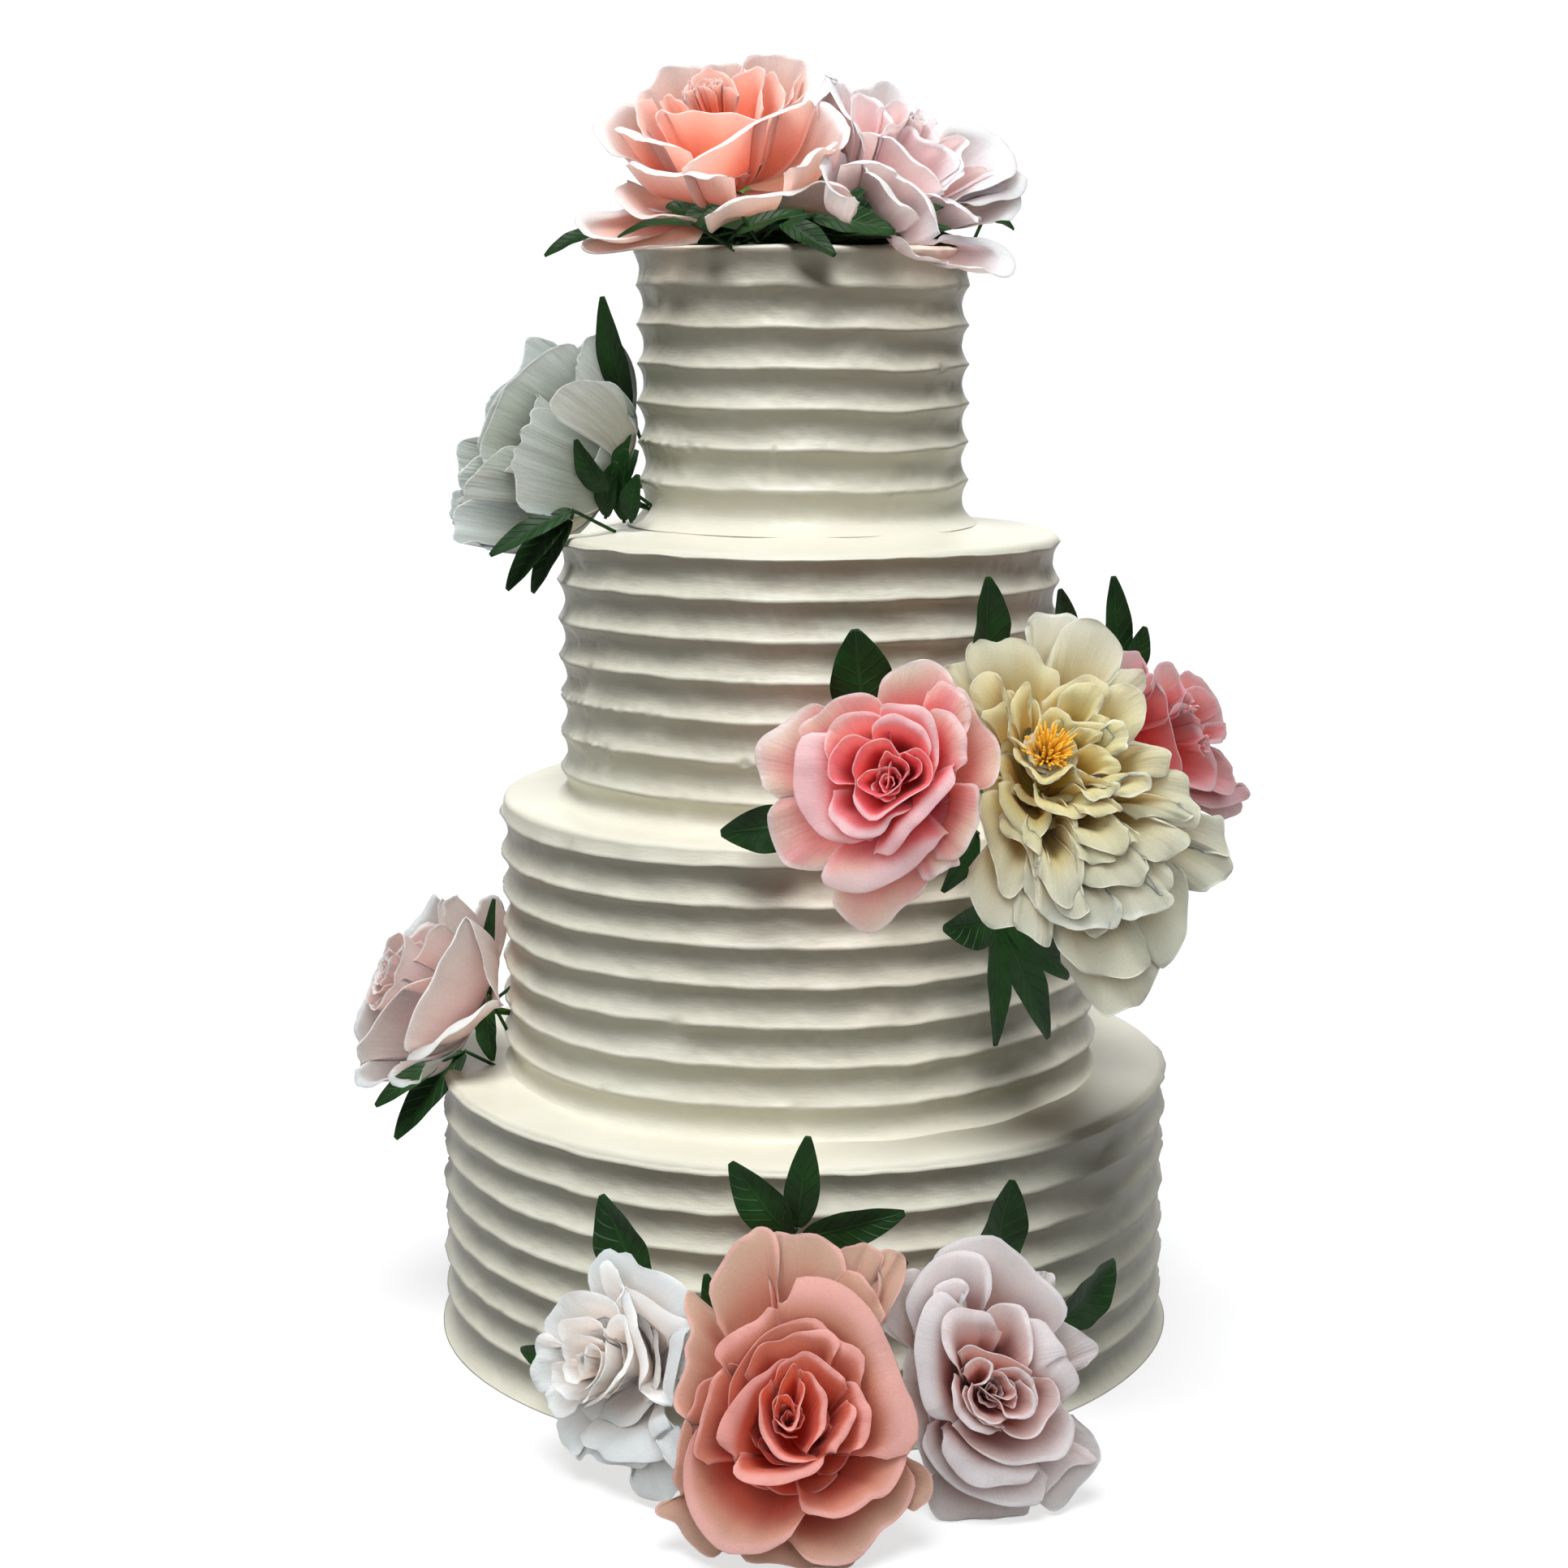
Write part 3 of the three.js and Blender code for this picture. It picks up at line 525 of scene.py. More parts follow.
def stem_foot(point, tier):
    """Where a stem ends in the icing: straight down in a tier's top, or else in the nearest wall, a
    little lower than it starts."""
    top = tier["base"] + tier["height"]
    across = np.array([point[0] - tier["centre"], point[1]])
    distance = np.linalg.norm(across)
    if point[2] > top and distance < tier["radius"]:
        return np.array([point[0], point[1], top - STEM_DEPTH])
    across *= min(1, (tier["radius"] - GROOVE_DEPTH - STEM_DEPTH) / distance)
    height = np.clip(point[2] - 4, tier["base"] + 6, top - STEM_DEPTH)
    return np.array([tier["centre"] + across[0], across[1], height])


def tube_rings(path, radii, sides=10):
    """Rings along a path of points, square to it, each with its own radius."""
    path = np.asarray(path, float)
    run = np.gradient(path, axis=0)
    run /= np.linalg.norm(run, axis=1)[:, None]
    helper = np.array([1.0, 0, 0]) if abs(run[0, 2]) > 0.8 else np.array([0, 0, 1.0])
    right = np.cross(helper, run)
    right /= np.linalg.norm(right, axis=1)[:, None]
    upward = np.cross(run, right)
    turn = np.linspace(0, 2 * pi, sides, endpoint=False)[None, :, None]
    radii = np.asarray(radii, float)[:, None, None]
    return path[:, None] + radii * (np.cos(turn) * right[:, None] + np.sin(turn) * upward[:, None])


def leaf_finish(name, low, high, vein):
    """Pressed fabric leaf or calyx: deep green, a little waxy, with a paler rib and side veins by the
    piece's own map (x across, y along), and a fine weave."""
    material, add, shade = new_finish(name)
    place = add("TexCoord", output="Object")
    green = two_tone(add, add("TexNoise", place, Scale=70.0, Detail=3.0), low, high, 0.35, 0.65)
    across, along, _ = add("SeparateXYZ", add("TexCoord", output="UV")).node.outputs
    side = add("Math", across, operation="ABSOLUTE")
    rib = add("MapRange", side, From_Min=0.03, From_Max=0.09, To_Min=1.0, To_Max=0.0)
    rank = add("Math", along, 8.0, operation="MULTIPLY")
    slope = add("Math", side, -1.6, rank, operation="MULTIPLY_ADD")
    band = add("Math", slope, 0.5, operation="PINGPONG")
    branch = add("MapRange", band, From_Max=0.12, To_Min=0.7, To_Max=0.0)
    veined = add("Math", rib, branch, operation="MAXIMUM")
    coloured = add("Mix", veined, A_Color=green, B_Color=(*linear(*vein), 1), data_type="RGBA", output=2)
    relief = add("Bump", Height=veined, Strength=0.6, Distance=0.0006, invert=True)
    weave = add("TexNoise", place, Scale=700.0, Detail=2.0)
    woven = add("Bump", Height=weave, Normal=relief, Strength=0.25, Distance=0.0002)
    shade(Base_Color=coloured, Roughness=0.5, Specular_IOR_Level=0.25, Normal=woven)
    return material


def skin_with_map(rings, places):
    """A closed skin with a map place for each point; its two end points take the end rings' means."""
    points, faces = closed_skin(rings)
    flat = places.reshape(-1, 2)
    return points, faces, np.concatenate([flat, places[0].mean(0)[None], places[-1].mean(0)[None]])


def wire_skin(path, radii, sides=10):
    """A round wire along a path, all at one place of the map, clear of ribs and veins."""
    rings = tube_rings(path, radii, sides)
    return skin_with_map(rings, np.full((*rings.shape[:2], 2), 0.5))


def several_skins(skins):
    """Joins closed skins, each given as points, faces and map, into one."""
    points, faces, places, start = [], [], [], 0
    for some_points, some_faces, some_places in skins:
        points.append(some_points)
        faces += [[start + corner for corner in face] for face in some_faces]
        places.append(some_places)
        start += len(some_points)
    return np.concatenate(points), faces, np.concatenate(places)


def blade_rings(origin, run, sideways, normal, width, bend, fold=0.16, rows=30, sides=28):
    """Rings of a pointed leaf, each a flat loop: half its width is a skewed sine of the way along to
    the power 0.85, folded up along the rib and gently waved."""
    along = np.linspace(0.02, 0.985, rows)[:, None]
    turn = np.linspace(0, 2 * pi, sides, endpoint=False)[None, :]
    across = np.cos(turn)
    breadth = np.sin(pi * along ** 0.8) ** 0.85
    half = 0.5 * width * breadth + STALK_END * (1 - breadth)
    lift = (bend * np.sin(pi * along) + fold * width * np.abs(across) * breadth
            + 0.04 * width * np.sin(7 * along + 2 * across) * breadth
            + 0.02 * width * np.sin(19 * along - 3 * across) * breadth * across ** 2)
    lift = lift + 0.5 * LEAF_THICKNESS * np.sin(turn) * np.maximum(0.35, 1 - np.abs(across) ** 3)
    rings = origin + along[..., None] * run + (half * across)[..., None] * sideways
    return rings + lift[..., None] * normal, np.stack(np.broadcast_arrays(across, along), -1)


# the petals of each flower: heights, lips and places of each rim
PINK_FRONT = [
    (2, 0.4, [9+6j, 4-2j, -3-6j, -9-4j, -13, -10+4j, -4+7j]),
    (1, 0.4, [-5+7j, -3+11j, -1+13j, 3+11j, 8+9j, 9+4j]),
    (1, 0.3, [1+10j, 5j, 1j, -1-3j]),
    (0, 0.8, [-15-1j, -15+7j, -12+14j, -7+18j, -1+18j, 3+13j, 5+10j]),
    (0, (0.5, 2.5, 2, 1, 1, 0.5, 0.5), [-16+1j, -14-7j, -7-14j, -11j, 9-5j, 18+1j, 18+9j, 12+15j, 6+14j]),
    (-1, 0.5, [4+14j, 9+12j, 14+8j, 13+4j, 9+1j]),
    (-2, 1, [-8+20j, -17+19j, -23+15j, -26+9j, -26+4j, -23, -18-1j]),
    (-2, (1, 3, 3, 1), [-9+19j, -6+24j, -1+26j, 6+25j, 12+22j, 16+17j, 17+9j]),
    (-3, (1, 4.5, 4.5, 2, 1), [-26-4j, -23-13j, -18-17j, -12-20j, -5-19j, -14j, 6-12j, 13-10j]),
    (-4, (0.5, 2, 2, 1), [-27+4j, -28+15j, -25+23j, -19+27j, -12+29j, -6+28j, -1+25j]),
    (-5, (1, 3, 4, 3, 1), [-7+29j, -2+32j, 6+31j, 13+28j, 16+22j, 19+11j, 20+1j]),
    (-7, (1, 3, 3, 3), [14+31j, 20+31j, 25+27j, 29+20j, 30+13j, 30+6j]),
    (-7, (3, 11, 13, 12, 7, 3, 1), [-25+24j, -28+15j, -28+5j, -27-8j, -24-18j, -17-24j, -8-27j]),
    (-10, 1.5, [-41+15j, -39+23j, -32+29j, -25+35j, -17+37j, -9+36j, -2+32j]),
    ((-6, -3, -4, -6), (3, 6, 7, 6, 4), [30+10j, 22+2j, 13-8j, 5-17j, -1-25j, -7-33j]),
    ((-12, -8, -10), (2, 6, 8, 8, 6, 3), [27-22j, 16-24j, 5-31j, -5-36j, -16-40j, -25-40j, -29-36j]),
    ((-9, -11, -13), 2, [32+1j, 36-2j, 37-8j, 36-16j, 33-23j, 29-30j, 22-36j]),
    (-16, 2.5, [31-30j, 25-34j, 18-38j, 12-39j]),
    ((-18, -22, -20), 2, [-26-47j, -23-54j, -17-60j, -9-63j, -2-60j, 3-54j, 11-48j, 20-41j]),
    (-20, 2, [-52-5j, -54-17j, -51-28j, -46-34j, -40-37j, -31-37j, -24-34j]),
    (-20, (1, 3, 3, 1), [-29+34j, -39+32j, -51+20j, -58+15j, -59+8j, -57-1j, -53-10j]),
    (-17, (1, 2, 2, 1), [-10+37j, -4+46j, 3+50j, 12+52j, 20+49j, 25+42j, 27+34j]),
    ((-20, -18), 1.5, [20+46j, 29+41j, 33+34j, 37+27j, 43+19j, 45+10j, 43+2j, 37-3j]),
    (-13, 2, [15+43j, 24+42j, 30+36j, 31+28j, 30+20j]),
]

PEONY = [
    (-22, 1.5, [64-25j, 70-26j, 77-25j, 79-31j, 80-37j, 79-42j, 72-40j, 65-41j]),
    (-24, 1.5, [61-42j, 71-40j, 78-42j, 82-48j, 79-51j, 73-55j, 68-57j, 61-60j]),
    (-30, 1, [4-96j, 16-107j, 22-114j, 31-110j, 38-107j, 43-101j, 47-90j, 49-83j]),
    (-24, 1, [52-45j, 58-49j, 60-57j, 60-69j, 58-80j, 53-89j, 47-92j, 41-92j]),
    (-21, 1, [-2-75j, 3-88j, 11-96j, 21-99j, 32-100j, 40-93j, 44-89j]),
    (-22, 2, [-3+66j, -1+74j, 1+77j, 10+78j, 19+76j, 22+69j]),
    (-18, 0.6, [2+51j, 8+59j, 13+69j, 20+73j, 29+73j, 36+68j, 40+60j, 38+51j, 36+40j]),
    (-19, 0.5, [-37+39j, -43+47j, -40+52j, -32+53j, -26+49j]),
    (-14, 0.6, [-33+45j, -33+51j, -30+59j, -25+63j, -18+61j, -12+63j, -5+60j, 54j, 3+48j, 9+46j, 10+41j]),
    (-16, 1, [34+45j, 40+48j, 47+45j, 48+40j, 45+33j, 45+25j]),
    (-16, 1, [-35+31j, -38+20j, -36+6j, -30-3j, -23-7j]),
    (-20, 1, [-38-50j, -37-59j, -32-70j, -27-75j, -20-77j, -16-75j, -14-67j]),
    (-16, 1, [-19-72j, -16-78j, -10-83j, -4-86j, -2-79j, -1-73j]),
    (-15, 1.2, [-31-15j, -29-24j, -27-36j, -25-47j, -24-53j, -22-60j, -19-64j, -12-62j]),
    (-14, 1, [-14-58j, -10-64j, -6-73j, -3-69j, -2-63j]),
    (-11, 0.8, [-24-29j, -21-35j, -16-37j, -12-42j, -9-49j, -8-57j, -8-66j]),
    (-9, 0.8, [-23-12j, -22-22j, -18-29j, -11-37j, -7-39j, -2-34j, -27j, -3-20j]),
    (-7, 0.8, [-14-37j, -10-43j, -6-49j, -6-53j, -9-55j]),
    (-12, 1, [3-78j, 7-80j, 13-82j, 20-82j, 25-77j]),
    ((-9, -9, -8), (1, 3, 3, 2), [-9-61j, -7-70j, -1-76j, 8-80j, 17-79j, 24-77j, 26-72j, 24-70j]),
    ((-9, -8), (1, 3, 2), [25-68j, 27-73j, 31-75j, 37-74j, 44-72j, 49-70j, 48-65j]),
    (-9, 0.8, [44-50j, 49-51j, 51-59j, 49-65j, 44-70j]),
    ((-4, -3), 1, [-9-62j, -5-63j, -2-70j, 4-73j, 7-68j, 11-61j, 11-51j, 10-41j, 10-32j, 7-27j]),
    (-5, 1, [-3-67j, 2-74j, 10-78j, 13-75j, 11-69j, 10-62j]),
    (-4, 1, [10-50j, 11-59j, 19-64j, 27-64j, 36-62j, 39-57j, 43-53j]),
    (-4, 0.5, [46-34j, 54-37j, 60-40j, 59-46j, 52-49j, 44-52j, 41-55j]),
    (-2, 0.6, [9-48j, 12-52j, 17-54j, 24-53j, 28-50j]),
    (0, 0.6, [10-43j, 13-46j, 21-49j, 28-50j, 32-46j, 32-40j, 31-35j]),
    (-1, 0.6, [31-46j, 35-44j, 37-42j, 34-39j]),
    (-2, 0.8, [-8-17j, -6-25j, -1-28j, 5-31j, 10-33j, 15-29j, 19-23j, 18-19j]),
    (2, 0.8, [-11-9j, -7-14j, -3-17j, 3-14j, 8-10j, 11-9j, 13-15j, 16-21j]),
    (1, 0.6, [13-33j, 19-32j, 27-31j, 30-30j, 28-26j]),
    (-6, 1, [54-5j, 59-10j, 62-15j, 63-22j, 65-28j, 63-34j, 58-37j]),
    (-5, 1, [40-33j, 46-30j, 57-32j, 61-31j, 62-27j, 57-24j]),
    (-3, 1, [34-1j, 38+3j, 45+3j, 52+1j, 53-4j, 52-10j, 47-13j]),
    (-6, 1, [28+28j, 30+33j, 36+34j, 43+31j, 46+25j, 44+16j, 41+6j]),
    (-4, 0.8, [-1+29j, 9+33j, 16+36j, 23+38j, 28+34j, 29+30j, 27+23j]),
    (-1, 0.8, [5+20j, 8+27j, 14+32j, 21+32j, 26+28j, 25+20j]),
    ((1, 0, 0), 1, [-4+17j, 3+19j, 9+16j, 11+13j, 18+13j, 25+11j, 30+8j, 34+2j, 32-3j]),
    (2, 1.5, [26+10j, 30+12j, 34+8j, 34+2j, 32-3j]),
    (-1, 0.6, [20+17j, 24+17j, 29+13j, 31+8j]),
    (3, 1.8, [28-21j, 33-16j, 41-15j, 42-19j, 37-23j, 29-24j]),
    (2, 1.5, [13-20j, 18-24j, 24-23j, 28-20j, 27-17j]),
    (1, 0.5, [10-6j, 14-1j, 20+1j, 26-2j, 29-6j, 31-10j, 29-13j]),
    (2, 0.4, [10-10j, 17-14j, 25-18j, 23-21j]),
    (0, 0.5, [5+3j, 9+6j, 15+10j, 22+9j, 25+5j]),
    (-1, 0.4, [1+9j, 5+15j, 11+14j, 13+10j]),
    (-5, 0.6, [-35+27j, -31+35j, -24+42j, -20+38j, -18+32j, -19+25j]),
    (-3, 0.6, [-31+19j, -25+21j, -19+24j, -17+20j, -17+13j, -19+9j]),
    (-8, 0.6, [-18+30j, -15+33j, -13+30j, -15+24j]),
    (3, 0.6, [-17+14j, -15+21j, -13+27j, -8+31j, -7+25j, -9+19j]),
    (3, 0.6, [-9+25j, -5+23j, -3+16j, -5+9j, -8+3j, -11]),
    (1, 0.6, [-18+7j, -12+2j, -8-5j, -7-9j]),
    (-1, 0.6, [-16+3j, -14-4j, -10-8j, -6-7j]),
]

CORAL = [
    (-27, 1, [-50-29j, -55-31j, -55-34j, -48-38j, -44-44j, -38-50j, -32-51j, -25-47j]),
    (-26, 1, [-27-46j, -19-52j, -12-54j, -4-55j, 6-57j, 17-57j, 24-55j, 27-52j, 32-47j]),
    (-22, 1, [48-32j, 52-33j, 57-31j, 59-25j, 57-19j, 52-11j]),
    (-23, 1.5, [39+52j, 40+62j, 40+75j, 43+78j, 47+77j, 49+74j, 48+65j, 44+50j]),
    (-22, 1.5, [21+68j, 22+77j, 29+79j, 34+79j, 39+76j, 41+71j]),
    (-20, 2, [-11+74j, -7+83j, -3+84j, 2+83j, 11+83j, 18+78j, 21+73j, 23+67j, 26+62j]),
    (-18, 2, [-34+48j, -34+61j, -28+71j, -23+78j, -17+82j, -13+86j, -9+84j, -7+76j, -6+64j]),
    (-20, (1, 2, 2), [-33+53j, -42+58j, -44+57j, -44+51j, -41+43j, -42+38j, -44+34j, -43+27j, -46+19j,
     -48+13j, -47+9j, -44+4j, -45-3j]),
    (-20, 1.5, [-31+27j, -38+17j, -40+8j, -44+1j, -47-7j, -47-15j, -48-21j, -49-30j]),
    (-19, 2, [-2-50j, 7-54j, 16-55j, 25-53j, 32-48j, 37-42j, 44-37j, 48-31j, 50-21j, 50-13j]),
    (-14, 1.5, [20+67j, 27+65j, 32+60j, 37+54j, 39+48j, 38+42j]),
    ((-13, -14, -12), (1, 4, 6, 4, 2), [-34+7j, -37-1j, -40-11j, -41-18j, -40-26j, -37-34j, -32-41j, -26-47j,
     -19-48j, -13-49j, -6-47j, 1-44j, 9-38j]),
    (-11, 3, [46+12j, 48+2j, 47-7j, 44-18j, 38-27j, 33-29j, 27-34j, 19-37j, 12-36j, 6-34j, 3-29j]),
    ((-8, -7, -9, -10), (5, 11, 11, 9, 9, 11, 12, 9), [-6+55j, -2+50j, 8+49j, 18+46j, 27+40j, 32+31j, 35+22j,
     37+11j, 40, 39-10j, 32-15j]),
    (-9, (1, 2, 2, 1), [-22+26j, -27+23j, -31+16j, -34+8j, -37-2j, -39-12j, -37-19j]),
    ((-4, -7), (0.5, 3, 5, 6, 5, 2), [-6+51j, -8+44j, -14+37j, -22+30j, -28+26j, -30+23j]),
    (-6, (1, 1, 1, 1, 2, 3, 5, 5, 3), [-29-3j, -26+7j, -24+17j, -19+27j, -12+35j, -4+39j, 4+41j, 10+40j,
     13+35j, 19+28j, 25+26j, 30+22j, 32+13j]),
    ((-6, -4, -4), (0.5, 2, 3, 5, 8, 9, 5), [6+27j, -3+24j, -9+18j, -14+12j, -18+5j, -21-3j, -23-11j,
     -24-18j]),
    (-5, (1, 4, 5, 4, 1), [22+18j, 26+12j, 28+4j, 29-3j, 28-10j, 26-15j]),
    (-4, (0.5, 0.5, 1, 3, 4, 3), [-21+20j, -12+31j, -4+33j, 4+35j, 12+34j, 17+31j, 19+26j]),
    (-3, (1, 4, 6, 6, 5, 3, 1), [-23-15j, -20-21j, -12-23j, -2-22j, 6-20j, 12-17j, 16-16j]),
    (-3, (1, 3, 4, 4, 1), [26+9j, 24+1j, 20-6j, 15-13j, 15-16j]),
    (-2, (1, 2, 2, 3, 3, 1), [-8+17j, -4+21j, 2+24j, 6+25j, 12+22j, 18+17j, 22+14j, 26+13j]),
    (-1, (1, 1.5, 2, 3, 3, 2, 1), [-9+18j, -12+10j, -12+3j, -11-3j, -8-9j, -5-14j, -17j, 6-18j, 12-18j]),
    (0, (0.5, 2, 3, 3, 2.5, 0.5), [4+22j, 9+15j, 12+8j, 12, 11-7j, 7-16j]),
    (1, 0.5, [-7-6j, -7, -7+5j, -5+10j, -3+15j, 1+21j, 4+20j]),
    (2, (1, 1.5, 2, 2, 1), [4+17j, 5+10j, 3+3j, 2-2j, -5j, -4-4j, -7-1j]),
    (2, 0.5, [-7, -6+5j, -4+8j, 7j, 2+2j]),
]

BLUSH_RIGHT = [
    (-28, 1, [-28-38j, -26-46j, -23-51j, -17-55j, -10-56j, -2-56j, 6-53j, 15-52j, 22-49j]),
    (-26, 1, [20-49j, 27-50j, 34-47j, 40-41j, 47-34j, 49-29j, 47-21j, 43-12j]),
    (-26, 1, [36+35j, 39+29j, 46+23j, 52+18j, 53+15j, 48+11j, 45+7j]),
    (-25, 1, [28+50j, 32+51j, 35+49j, 36+43j]),
    (-20, 1.5, [-35+23j, -43+32j, -41+41j, -37+50j, -32+53j, -27+54j, -24+51j]),
    (-19, 2, [-24+50j, -18+58j, -11+62j, -2+65j, 9+66j, 15+62j, 20+57j, 26+49j, 32+43j, 36+36j, 37+30j,
     34+23j]),
    (-20, 1.5, [-35+23j, -34+11j, -35+1j, -34-9j, -31-19j, -27-30j, -23-33j]),
    (-21, 1, [20-48j, 24-42j, 30-36j, 37-32j, 45-32j, 47-28j]),
    (-15, 2.5, [-32+28j, -31+37j, -29+44j, -24+51j, -17+57j, -8+59j, -1+57j, 2+54j, 3+49j, 2+42j, 35j]),
    (-16, 2, [-29-13j, -28-20j, -25-28j, -19-35j, -11-41j, -1-44j, 9-46j, 19-46j, 26-40j]),
    (-12, 2, [-17+36j, -19+43j, -12+47j, -8+46j, -8+43j, -12+38j]),
    ((-10, -8, -10), (4, 8, 8, 9, 9, 7, 3), [-18-14j, -21-5j, -23+7j, -22+19j, -19+31j, -15+37j, -9+40j]),
    ((-12, -11, -12), (2, 6, 8, 8, 6, 5, 2), [-24-15j, -18-20j, -11-27j, -4-31j, 5-33j, 14-34j, 22-36j]),
    ((-8, -9, -10), (2, 7, 12, 13, 11, 8, 3), [17+35j, 20+25j, 20+15j, 22+7j, 27+3j, 31-1j, 34-9j]),
    (-9, (1, 1.5, 2, 3, 1), [-19-14j, -11-21j, -4-26j, 5-29j, 13-29j, 21-28j, 28-27j, 33-21j, 34-14j,
     33-6j]),
    (-5, (1, 1, 2, 2, 2, 1), [-3+32j, 3+35j, 10+35j, 15+33j, 17+27j, 18+20j, 17+13j, 17+7j]),
    (-4, (1, 3, 4, 5, 5, 4, 1), [-14+8j, -16+17j, -16+24j, -14+29j, -8+30j, -1+29j, 7+26j]),
    (-3, (1, 1, 1.5, 1, 1), [19+5j, 25+3j, 28-2j, 27-8j, 22-13j, 17-18j, 12-20j, 7-19j, 3-16j, -14j]),
    (-3, (1, 3, 4, 4, 1), [-17+9j, -16, -14-6j, -10-11j, -5-15j, 3-18j]),
    (-2, 0.8, [-15+18j, -9+19j, -4+17j, 3+15j, 11+11j, 16+7j, 19+4j]),
    (0, 1, [-13+3j, -13-3j, -11-8j, -7-12j, -2-14j, 4-17j]),
    (1, (1, 1, 1.5, 2, 2, 1), [-8+3j, -3-1j, 2-5j, 4-10j, 8-11j, 12-11j, 15-8j, 15-2j, 12+4j]),
    (0, (1, 2, 2, 1), [9j, 6+8j, 12+6j, 16+1j, 17-5j, 14-12j]),
    (1, (1, 1.5, 1.5, 1), [-10+4j, -11-2j, -10-7j, -6-11j, -1-13j, 6-13j]),
    (2, 1.5, [-14+8j, -11+10j, -6+13j, -2+11j, -2+8j, -4+4j, -10+3j]),
    (2, 1, [-2+8j, 3+7j, 6+2j, 8-2j, 5-4j, -1-2j]),
    (1, 0.6, [1+8j, 7+3j, 9-2j, 8-7j, 5-7j]),
]

WHITE_LEFT = [
    (-24, 1, [27-36j, 25-41j, 26-46j, 31-49j, 41-48j, 48-46j, 49-40j, 49-32j]),
    (-20, 1, [-9-40j, -5-43j, -3-40j, 2-39j, 9-40j, 19-38j, 31-36j, 43-30j]),
    (-18, 1.5, [-19+29j, -20+36j, -16+43j, -12+48j, -6+47j, 1+49j, 8+46j, 18+46j, 25+45j, 35+42j, 41+36j,
     45+31j]),
    (-18, 1, [-23-24j, -20-28j, -18-33j, -15-38j, -10-39j, -5-41j, -3-37j]),
    (-16, 1, [40+27j, 46+31j, 47+26j, 46+16j, 46+8j, 42+5j, 43-2j, 47-5j]),
    (-16, (1, 2.5, 3, 2, 1), [-6-36j, 1-34j, 8-34j, 15-35j, 28-32j, 40-29j, 46-26j, 49-18j]),
    (-13, 1, [3+40j, 11+37j, 24+34j, 36+31j, 46+30j, 44+26j, 45+20j, 45+8j, 45, 46-5j, 36-6j, 28-5j]),
    (-13, (3, 4, 5, 4, 3), [6+40j, 5+33j, 12+24j, 18+16j, 24+7j, 28-5j]),
    (-12, 1, [-10+39j, -7+44j, 42j, 4+39j, 6+34j, 2+29j]),
    (-13, 1.5, [-32, -34+8j, -33+13j, -29+21j, -24+25j, -17+28j, -10+28j, -1+28j, 6+26j, 9+21j]),
    (-12, 1, [43-24j, 45-19j, 53-14j, 56-16j, 57-24j, 56-29j, 51-27j, 48-26j]),
    (-11, 3, [-22+4j, -31+3j, -34, -32-5j, -32-11j, -29-16j, -22-19j]),
    (-9, 2, [-23-16j, -20-20j, -16-23j, -11-24j, -5-21j, -3-18j]),
    (-7, 1, [-20+4j, -21+11j, -17+15j, -10+18j, -3+20j, 3+18j, 6+14j]),
    ((-5, -7), (1, 2, 3, 3, 2, 1), [5+16j, 9+21j, 15+24j, 18+21j, 21+15j, 22+10j, 21+4j, 18, 13-9j, 7-15j,
     1-20j]),
    (-3, 1, [-11-1j, -16-5j, -15-10j, -12-13j, -5-15j, 1-17j]),
    (-1, 0.8, [-9-2j, -11+4j, -10+8j, -5+11j, 2+13j, 9+14j]),
    (-1, 1.5, [11+15j, 14+8j, 14+1j, 12-5j, 8-12j, 5-17j]),
    (1, 1, [3+1j, 2+5j, 5+6j, 5+10j, 12+9j, 14+3j, 13-1j, 10-7j, 6-11j]),
    (2, 1, [-4+2j, -5-3j, -1-7j, 4-7j, 4-2j, 1+3j]),
    (2, 0.6, [1+1j, 1+4j, 5+5j, 6+1j, 6-3j]),
]

